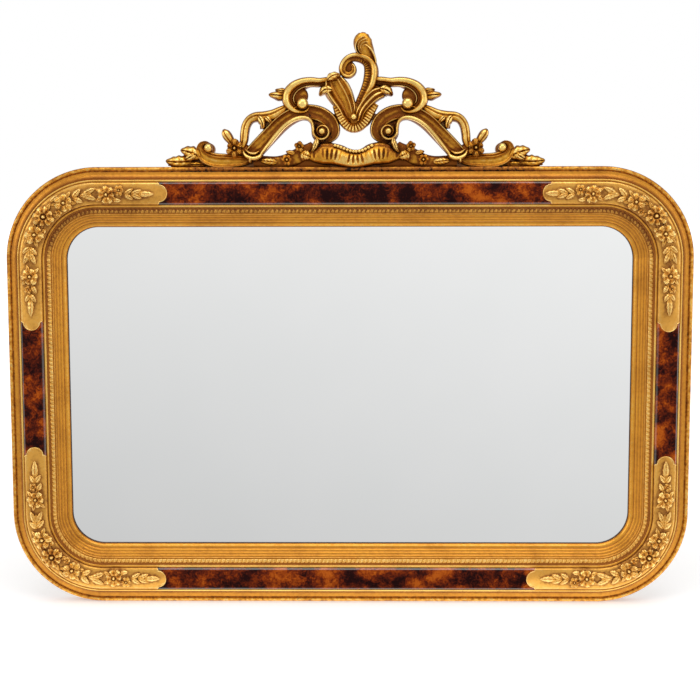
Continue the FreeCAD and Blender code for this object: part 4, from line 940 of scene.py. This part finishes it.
def wood_group():
    """Plain wood: grain lines stretched along one axis, with darker pores."""
    tree, given, out = group("wood_grain", [
        ("Vector", "Vector", (0, 0, 0)), ("Pale Color", "Color", (0.55, 0.38, 0.21, 1)),
        ("Dark Color", "Color", (0.33, 0.20, 0.10, 1))], SURFACE)
    rings = noise(tree, given["Vector"], 7, 5, 0.6, 1.2)
    pores = noise(tree, given["Vector"], 60, 2, 0.7)
    colour = mixed(tree, between(tree, rings, 0.35, 0.68), given["Pale Color"], given["Dark Color"])
    colour = mixed(tree, between(tree, pores, 0.58, 0.75, 0, 0.5), colour, given["Dark Color"])
    rough = between(tree, pores, 0.3, 0.7, 0.55, 0.75)
    feed(tree, out, {"Color": colour, "Roughness": rough, "Height": pores})
    return tree


GILDING = gilding_group()
WOOD = wood_group()


def gilt(name, leaf_colour, ridge_colour, hollow_colour, flecks, mottle, metallic, coat):
    """Gilded surface that reads from the mesh how proud each point stands, with its staining and painted
    light.
    """
    made, tree, shader = material(name)
    rubbed_and_shaded_by = put(tree, "Attribute", attribute_name="rubbed_and_shaded").outputs["Fac"]
    speckle = put(tree, "Attribute", attribute_name="speckle").outputs["Fac"]
    flecks = calc(tree, "MULTIPLY_ADD", speckle, 0.6, flecks)
    mottle = calc(tree, "MULTIPLY_ADD", speckle, 3.2, mottle)
    leaf_of = use(tree, GILDING, {"Rubbed And Shaded": rubbed_and_shaded_by, "Leaf Color": (*leaf_colour, 1),
                                  "Ridge Color": (*ridge_colour, 1), "Hollow Color": (*hollow_colour, 1),
                                  "Flecks": flecks, "Mottle": mottle})
    feed(tree, shader, {"Base Color": leaf_of["Color"], "Roughness": leaf_of["Roughness"],
                        "Metallic": metallic, "Coat Weight": coat, "Coat Roughness": 0.22,
                        "Normal": bumped(tree, leaf_of["Height"], 0.25, 0.0006)})
    return made


def tortoiseshell():
    """Lacquered panel: amber flames and red-brown clouds over near black, under a thick clear gloss."""
    made, tree, shader = material("tortoiseshell_lacquer")
    place = put(tree, "TexCoord").outputs["Object"]
    warp = put(tree, "TexNoise", {"Vector": place, "Scale": 30.0, "Detail": 3.0}).outputs["Color"]
    shift = put(tree, "VectorMath", {0: warp, 1: (0.035, 0.035, 0.035)}, operation="MULTIPLY").outputs[0]
    bent = put(tree, "VectorMath", {0: place, 1: shift}, operation="ADD").outputs[0]
    flames = between(tree, noise(tree, bent, 27, 3, 0.52), 0.2, 0.8, 0.09, 0.91)
    mottled = noise(tree, place, 150, 5, 0.70, 1.4)
    colour = shade(tree, calc(tree, "ADD", flames, wavering(tree, mottled, 0.90)), [
        (0.33, (0.016, 0.005, 0.005)), (0.43, (0.055, 0.010, 0.006)), (0.53, (0.13, 0.019, 0.006)),
        (0.63, (0.26, 0.044, 0.006)), (0.76, (0.42, 0.092, 0.010))])
    facing = put(tree, "SeparateXYZ", {0: put(tree, "TexCoord").outputs["Normal"]}).outputs["Y"]
    feed(tree, shader, {"Base Color": colour, "Roughness": between(tree, mottled, 0.3, 0.7, 0.28, 0.42),
                        "Specular IOR Level": 0.0, "Coat Weight": between(tree, facing, -0.96, -0.82),
                        "Coat Roughness": 0.05, "Coat IOR": 1.9,
                        "Normal": bumped(tree, mottled, 0.06, 0.0005)})
    return made


def silvered_glass():
    """Mirror: silvering under clear glass, with a trace of unevenness in its polish."""
    made, tree, shader = material("silvered_glass")
    haze = noise(tree, put(tree, "TexCoord").outputs["Object"], 6, 2)
    silver = shade(tree, haze, [(0.3, (0.855, 0.865, 0.862)), (0.7, (0.872, 0.878, 0.876))])
    feed(tree, shader, {"Base Color": silver, "Metallic": 1.0,
                        "Roughness": between(tree, haze, 0.3, 0.7, 0.004, 0.012)})
    return made


def wooden(name, stretch, pale, dark):
    """Raw wood with its grain along the axis that is stretched least."""
    made, tree, shader = material(name)
    place = stretched(tree, put(tree, "TexCoord").outputs["Object"], stretch)
    grain = use(tree, WOOD, {"Vector": place, "Pale Color": (*pale, 1), "Dark Color": (*dark, 1)})
    feed(tree, shader, {"Base Color": grain["Color"], "Roughness": grain["Roughness"],
                        "Normal": bumped(tree, grain["Height"], 0.2, 0.0005)})
    return made


def metal(name, pale, dark, roughness, scale):
    """Sheet metal: brushed along one axis, with tarnish in clouds."""
    made, tree, shader = material(name)
    place = put(tree, "TexCoord").outputs["Object"]
    brushed = noise(tree, stretched(tree, place, (1, 1, 12)), scale, 3)
    tarnish = shade(tree, noise(tree, place, 90, 3), [(0.35, dark), (0.62, pale)])
    feed(tree, shader, {"Base Color": tarnish, "Metallic": 1.0,
                        "Roughness": between(tree, brushed, 0.3, 0.7, roughness, roughness + 0.18),
                        "Normal": bumped(tree, brushed, 0.08, 0.0003)})
    return made


def matt(name, pale, dark, roughness, scale):
    """Card or rubber: a dull body with a fine speckle."""
    made, tree, shader = material(name)
    speckle = noise(tree, put(tree, "TexCoord").outputs["Object"], scale, 5, 0.7)
    feed(tree, shader, {"Base Color": shade(tree, speckle, [(0.3, dark), (0.7, pale)]),
                        "Roughness": between(tree, speckle, 0.3, 0.7, roughness - 0.1, roughness),
                        "Normal": bumped(tree, speckle, 0.15, 0.0004)})
    return made


# Gilding: colour of leaf, ridges and hollows, then flecks, mottle, metallic and coat; the ridge colour holds
# a painted highlight, and the hollow colour holds painted shade as well as patina
GILT_MOULDING = gilt("gilt_moulding", (0.66, 0.28, 0.024), (0.88, 0.54, 0.13), (0.32, 0.105, 0.013),
                     0.30, 0.8, 0.86, 0.12)
GILT_CUSHION = gilt("gilt_cushion", (0.71, 0.35, 0.060), (0.88, 0.57, 0.18), (0.24, 0.080, 0.016),
                    0.25, 1.1, 0.86, 0.05)
GILT_FLOWERS = gilt("gilt_flowers", (0.68, 0.33, 0.055), (0.92, 0.63, 0.21), (0.20, 0.062, 0.010),
                    0.20, 1.2, 0.86, 0.05)
GILT_CARVING = gilt("gilt_carving", (0.62, 0.280, 0.024), (0.93, 0.64, 0.19), (0.20, 0.055, 0.004),
                    0.20, 1.3, 0.90, 0.03)
GILT_GROUND = gilt("gilt_ground", (0.30, 0.105, 0.014), (0.45, 0.22, 0.05), (0.13, 0.040, 0.006),
                   0.3, 1.0, 0.35, 0.0)
RAW_WOOD_ALONG = wooden("raw_wood_along", (3, 30, 30), (0.56, 0.39, 0.22), (0.36, 0.22, 0.11))
RAW_WOOD_UPRIGHT = wooden("raw_wood_upright", (30, 30, 3), (0.56, 0.39, 0.22), (0.36, 0.22, 0.11))
PLYWOOD = wooden("plywood", (2, 30, 22), (0.60, 0.42, 0.25), (0.44, 0.28, 0.15))
BEECH = wooden("beech", (30, 30, 4), (0.62, 0.45, 0.27), (0.48, 0.32, 0.18))
LACQUER = tortoiseshell()
SILVERING = silvered_glass()
BRASS = metal("dull_brass", (0.72, 0.50, 0.20), (0.46, 0.29, 0.10), 0.28, 300)
STEEL = metal("zinc_steel", (0.60, 0.60, 0.60), (0.42, 0.42, 0.43), 0.30, 300)
CARD = matt("grey_card", (0.42, 0.34, 0.25), (0.33, 0.26, 0.18), 0.85, 700)
RUBBER = matt("black_rubber", (0.030, 0.030, 0.030), (0.015, 0.015, 0.015), 0.75, 900)

# Frame: where the outline is raw wood, where its glaze is darker or lighter with painted shade and a painted
# highlight in it, and where its rim is speckled
OUTLINE = moulding_outline()
OUTLINE_U, OUTLINE_D = OUTLINE.T
NEAR = 0.6
AT_BACK = (OUTLINE_D < NEAR) | ((OUTLINE_U > REBATE[0] - NEAR) & (OUTLINE_D < REBATE[1] + NEAR))
ON_RIM = (OUTLINE_U < COVE_CORNER[0]) & (OUTLINE_D > SIDE_DEPTH - 1)
# Dark line at the glass: painted shadow in the gap between sight bead and glass
AT_GLASS = (OUTLINE_U > MOULDING_WIDTH - 1.3) & (OUTLINE_D < SIGHT_BEAD_FOOT + 1.2)
# Lighter sight bead: a painted highlight
ON_SIGHT_BEAD = ((OUTLINE_U > REBATE[0] + 1) & (OUTLINE_U < MOULDING_WIDTH - 1.1)
                 & (OUTLINE_D > SIGHT_BEAD_FOOT))
# Darker rim groove and strip channel: patina and painted shade in the recesses
IN_RIM_GROOVE = (OUTLINE_U > 2 * RIM_RADIUS - NEAR) & (OUTLINE_U < COVE_CORNER[0] + NEAR)
IN_STRIP_CHANNEL = (OUTLINE_U > STRIP_CHANNEL[0] + 0.1) & (OUTLINE_U < STRIP_CHANNEL[1] - 0.1)
OUTLINE_STAIN_AND_SHADE = -2.0 * AT_GLASS + 0.35 * ON_SIGHT_BEAD - 0.12 * IN_RIM_GROOVE - 0.30 * IN_STRIP_CHANNEL
# Painted shadow of the crest on the top rail's rim, fading out past its ends
UNDER_CREST_PAINTED_SHADOW = -0.95
UNDER_CREST_FADE = 40
CORNER_ROWS = 49
CREST_REACH = (high("crest_board")[0] - low("crest_board")[0]) / 2
RUNS = {side: 2 * (RAIL_HALF if "rail" in side else STILE_HALF) for side in SIDES}
for side, run in RUNS.items():
    line = side_line(side, np.linspace(0, run, int(run / ROW_STEP)))
    raw = RAW_WOOD_ALONG if "rail" in side else RAW_WOOD_UPRIGHT
    inside = CREST_REACH - np.abs(line[0][:, 0] - CREST_MIDDLE)
    under_crest = np.clip(inside / UNDER_CREST_FADE, 0, 1) * (side == "top_rail")
    stain_and_shade = OUTLINE_STAIN_AND_SHADE + UNDER_CREST_PAINTED_SHADOW * under_crest[:, None] * ON_RIM
    piece("dressed_" + side, [sweep(line, OUTLINE)], [side], [GILT_MOULDING, raw], "gilt_wood",
          AT_BACK, stain_and_shade)
for corner in CORNERS:
    line = corner_line(corner, np.linspace(-BEND, BEND, CORNER_ROWS))
    piece("dressed_corner_" + corner, [sweep(line, OUTLINE)], ["corner_block_" + corner],
          [GILT_MOULDING, RAW_WOOD_ALONG], "gilt_wood", AT_BACK, OUTLINE_STAIN_AND_SHADE)
    cushion = [cushion_skin(corner), tongue_bead(corner, 1), tongue_bead(corner, -1)]
    piece("dressed_cushion_" + corner, cushion, ["corner_cushion_" + corner], [GILT_CUSHION], "gilt_wood")
    piece("dressed_garland_" + corner, garland(corner), ["garland_" + corner], [GILT_FLOWERS],
          "gilt_ornament")

# Fine strip: eight rows to a leaf, painted shade along the top
STRIP_ROWS = 8
TOP_STRIP_PAINTED_SHADE = -0.55
TOP_STRIP_FADE = 30
strips = []
for side, run in RUNS.items():
    s = np.linspace(0, run, int(run / STRIP_PITCH) * STRIP_ROWS + 1)
    strips.append(strip_skin(side_line(side, s), s))
arc_share = (OUTER_RADIUS - (STRIP[0] + STRIP[1]) / 2) / CROWN_RADIUS
for corner in CORNERS:
    s = np.linspace(-BEND, BEND, int(2 * BEND * arc_share / STRIP_PITCH) * STRIP_ROWS + 1)
    strips.append(strip_skin(corner_line(corner, s), s * arc_share))
piece("dressed_sight_beading", strips, ["sight_beading"], [GILT_FLOWERS], "gilt_ornament", None,
      lambda points: TOP_STRIP_PAINTED_SHADE * np.clip((points[..., 2] - STILE_HALF) / TOP_STRIP_FADE, 0, 1))


# Crest: how much lighter or darker the glaze is left on its pieces
def arm_stain(points):
    """Darker towards the volutes."""
    return -0.36 * np.clip((100 - np.abs(points[..., 0] - CREST_MIDDLE)) / 35, 0, 1)


def plume_stain(points):
    """Lighter on the finial than on the plume."""
    return -0.12 + 0.45 * np.clip((points[..., 2] - HALF_HEIGHT - 160) / 20, 0, 1)


def shell_stain(points):
    """Lighter in the middle of the shell than on its wings."""
    return 0.18 - 0.70 * np.clip((np.abs(points[..., 0] - CREST_MIDDLE) - 26) / 16, 0, 1)


CREST_STAIN = {"end_scroll": 0.35, "leaf_left": 0.42, "cup": 0.35, "end_leaf": 0.15, "tendril": 0.15,
               "swag": -0.1, "arm": arm_stain, "plume": plume_stain, "shell": shell_stain}
CREST_PAIRS = {"arm": bracket_arm, "end_scroll": end_scroll, "end_leaf": end_leaves, "tendril": tendril,
               "leaf_scroll": leaf_scroll, "swag": swag}
CREST_MIDDLES = {"shell": shell, "cup": cup, "plume": plume, "leaf_left": left_plume_leaf,
                 "leaf_right": right_plume_leaf}
crest_skins = [(name, "crest_%s_%s" % (name, hand), skins) for name, make in CREST_PAIRS.items()
               for hand, skins in mirrored_pair(make).items()]
crest_skins += [(name, "crest_" + name, [on_crest(flat) for flat in make()])
                for name, make in CREST_MIDDLES.items()]
for name, node, skins in crest_skins:
    piece("dressed_" + node, skins, [node], [GILT_CARVING], "gilt_ornament", None, CREST_STAIN.get(name, 0.0))

RELIEF = front_relief()
for one in PIECES:
    mesh_piece(one, RELIEF)

# CAD pieces that keep their shape
FINISHES = {"panel_": LACQUER, "mirror_glass": SILVERING, "packing_sheet": CARD, "back_board": PLYWOOD,
            "glass_wedges": BEECH, "corner_dowels": BEECH, "turn_button_": BRASS, "turn_button_screws": STEEL,
            "hanger_": STEEL, "wood_screws": STEEL, "crest_plates": STEEL, "wall_bumpers": RUBBER,
            "crest_board": GILT_GROUND}
for start, finish in FINISHES.items():
    for name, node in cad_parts.items():
        if name.startswith(start):
            node.data.materials.clear()
            node.data.materials.append(finish)

# Stage: a pale floor, a white world and soft light from above
FLOOR_REACH = 60.0
EYE_DISTANCE = 2.13
WHITE = (1, 1, 1, 1)


def floor_material():
    """White floor that keeps its shadows; what mirrors and gilding see of it is a glow, not its lit colour: a
    painted reflection that lightens with distance and towards the right, and brightens close to the frame.
    """
    made, tree, shader = material("floor")
    path = put(tree, "LightPath").outputs
    place = put(tree, "TexCoord").outputs["Object"]
    across = put(tree, "SeparateXYZ", {0: place}).outputs
    away = calc(tree, "MAXIMUM", calc(tree, "MULTIPLY", across["Y"], -1), 0.0)
    beyond = calc(tree, "ADD", away, EYE_DISTANCE)
    far = between(tree, calc(tree, "DIVIDE", away, beyond), 0.1, 1.0, 0.71, 0.96)
    aside = between(tree, calc(tree, "DIVIDE", across["X"], beyond), -1.0, 1.0, -0.26, 0.26)
    near = between(tree, away, 0.14, 0.34, 1.0, 0.0)
    seen = calc(tree, "ADD", calc(tree, "ADD", far, aside), near)
    feed(tree, shader, {"Base Color": (0.80, 0.80, 0.80, 1), "Roughness": 0.9, "Specular IOR Level": 0.0})
    apart = put(tree, "VectorMath", {0: place}, operation="LENGTH").outputs["Value"]
    lift = calc(tree, "MULTIPLY", path["Is Camera Ray"], between(tree, apart, 0.75, 2.0, 0.345, 0.80))
    extra = put(tree, "Emission", {"Color": WHITE, "Strength": lift})
    lit = put(tree, "AddShader", {0: tree.nodes["Principled BSDF"].outputs[0], 1: extra.outputs[0]})
    # Glow seen by glossy rays only: painted reflection, brightest just in front of the frame
    mirrored = put(tree, "Emission", {"Color": WHITE, "Strength": seen})
    final = put(tree, "MixShader", {0: path["Is Glossy Ray"], 1: lit.outputs[0], 2: mirrored.outputs[0]})
    tree.links.new(final.outputs[0], tree.nodes["Material Output"].inputs["Surface"])
    return made


floor_mesh = bpy.data.meshes.new("floor")
floor_corners = [(x * FLOOR_REACH, y * FLOOR_REACH, FLOOR * MM)
                 for x, y in ((-1, -1), (1, -1), (1, 1), (-1, 1))]
floor_mesh.from_pydata(floor_corners, [], [(0, 1, 2, 3)])
floor_mesh.materials.append(floor_material())
floor = bpy.data.objects.new("floor", floor_mesh)
bpy.context.scene.collection.objects.link(floor)

# World: greys that darken upwards, white where the camera sees it
SKY = [(0.0, (0.88,) * 3), (0.30, (0.90,) * 3), (0.6, (0.70,) * 3), (1.0, (0.60,) * 3)]
world = bpy.data.worlds.new("studio")
bpy.context.scene.world = world
world.use_nodes = True
sky = world.node_tree
path = put(sky, "LightPath").outputs
way = put(sky, "SeparateXYZ", {0: put(sky, "TexCoord").outputs["Generated"]}).outputs
height = shade(sky, between(sky, way["Z"], -0.2, 1.0), SKY)
white = calc(sky, "MAXIMUM", path["Is Camera Ray"], path["Is Transmission Ray"])
feed(sky, sky.nodes["Background"].inputs, {"Color": mixed(sky, white, height, WHITE)})


def softbox(name, place, target, size, power):
    """Rectangular lamp that faces a target."""
    data = bpy.data.lights.new(name, "AREA")
    data.shape, data.size, data.size_y, data.energy = "RECTANGLE", size[0], size[1], power
    lamp = bpy.data.objects.new(name, data)
    lamp.location = place
    lamp.rotation_euler = (Vector(target) - Vector(place)).to_track_quat("-Z", "Y").to_euler()
    bpy.context.scene.collection.objects.link(lamp)


softbox("overhead", (0.15, -1.1, 2.3), (0, -0.1, 0.1), (2.6, 1.4), 26)
softbox("left_fill", (-2.4, -1.6, 0.9), (0, 0, 0.1), (1.2, 1.6), 14)
softbox("right_fill", (2.4, -1.6, 0.9), (0, 0, 0.1), (1.2, 1.6), 8)

# Camera: place and angles in metres and radians, a 70 mm lens on a 36 mm wide frame
CAMERA_PLACE = Vector((0.0231, -2.1322, 0.2780))
CAMERA_PITCH, CAMERA_YAW, CAMERA_ROLL = 0.104028, -0.010646, -0.001666
level = Vector((math.sin(CAMERA_YAW), math.cos(CAMERA_YAW), 0))
ahead = level * math.cos(CAMERA_PITCH) - Vector((0, 0, math.sin(CAMERA_PITCH)))
upward = Vector((0, 0, math.cos(CAMERA_PITCH))) + level * math.sin(CAMERA_PITCH)
right = Vector((level.y, -level.x, 0))
right, upward = (right * math.cos(CAMERA_ROLL) + upward * math.sin(CAMERA_ROLL),
                 upward * math.cos(CAMERA_ROLL) - right * math.sin(CAMERA_ROLL))
camera_data = bpy.data.cameras.new("camera")
camera_data.sensor_width, camera_data.lens = 36, 70
camera = bpy.data.objects.new("camera", camera_data)
camera.matrix_world = Matrix.Translation(CAMERA_PLACE) @ Matrix((right, upward, -ahead)).transposed().to_4x4()
bpy.context.scene.collection.objects.link(camera)
bpy.context.scene.camera = camera
bpy.context.scene.view_settings.view_transform = "Standard"
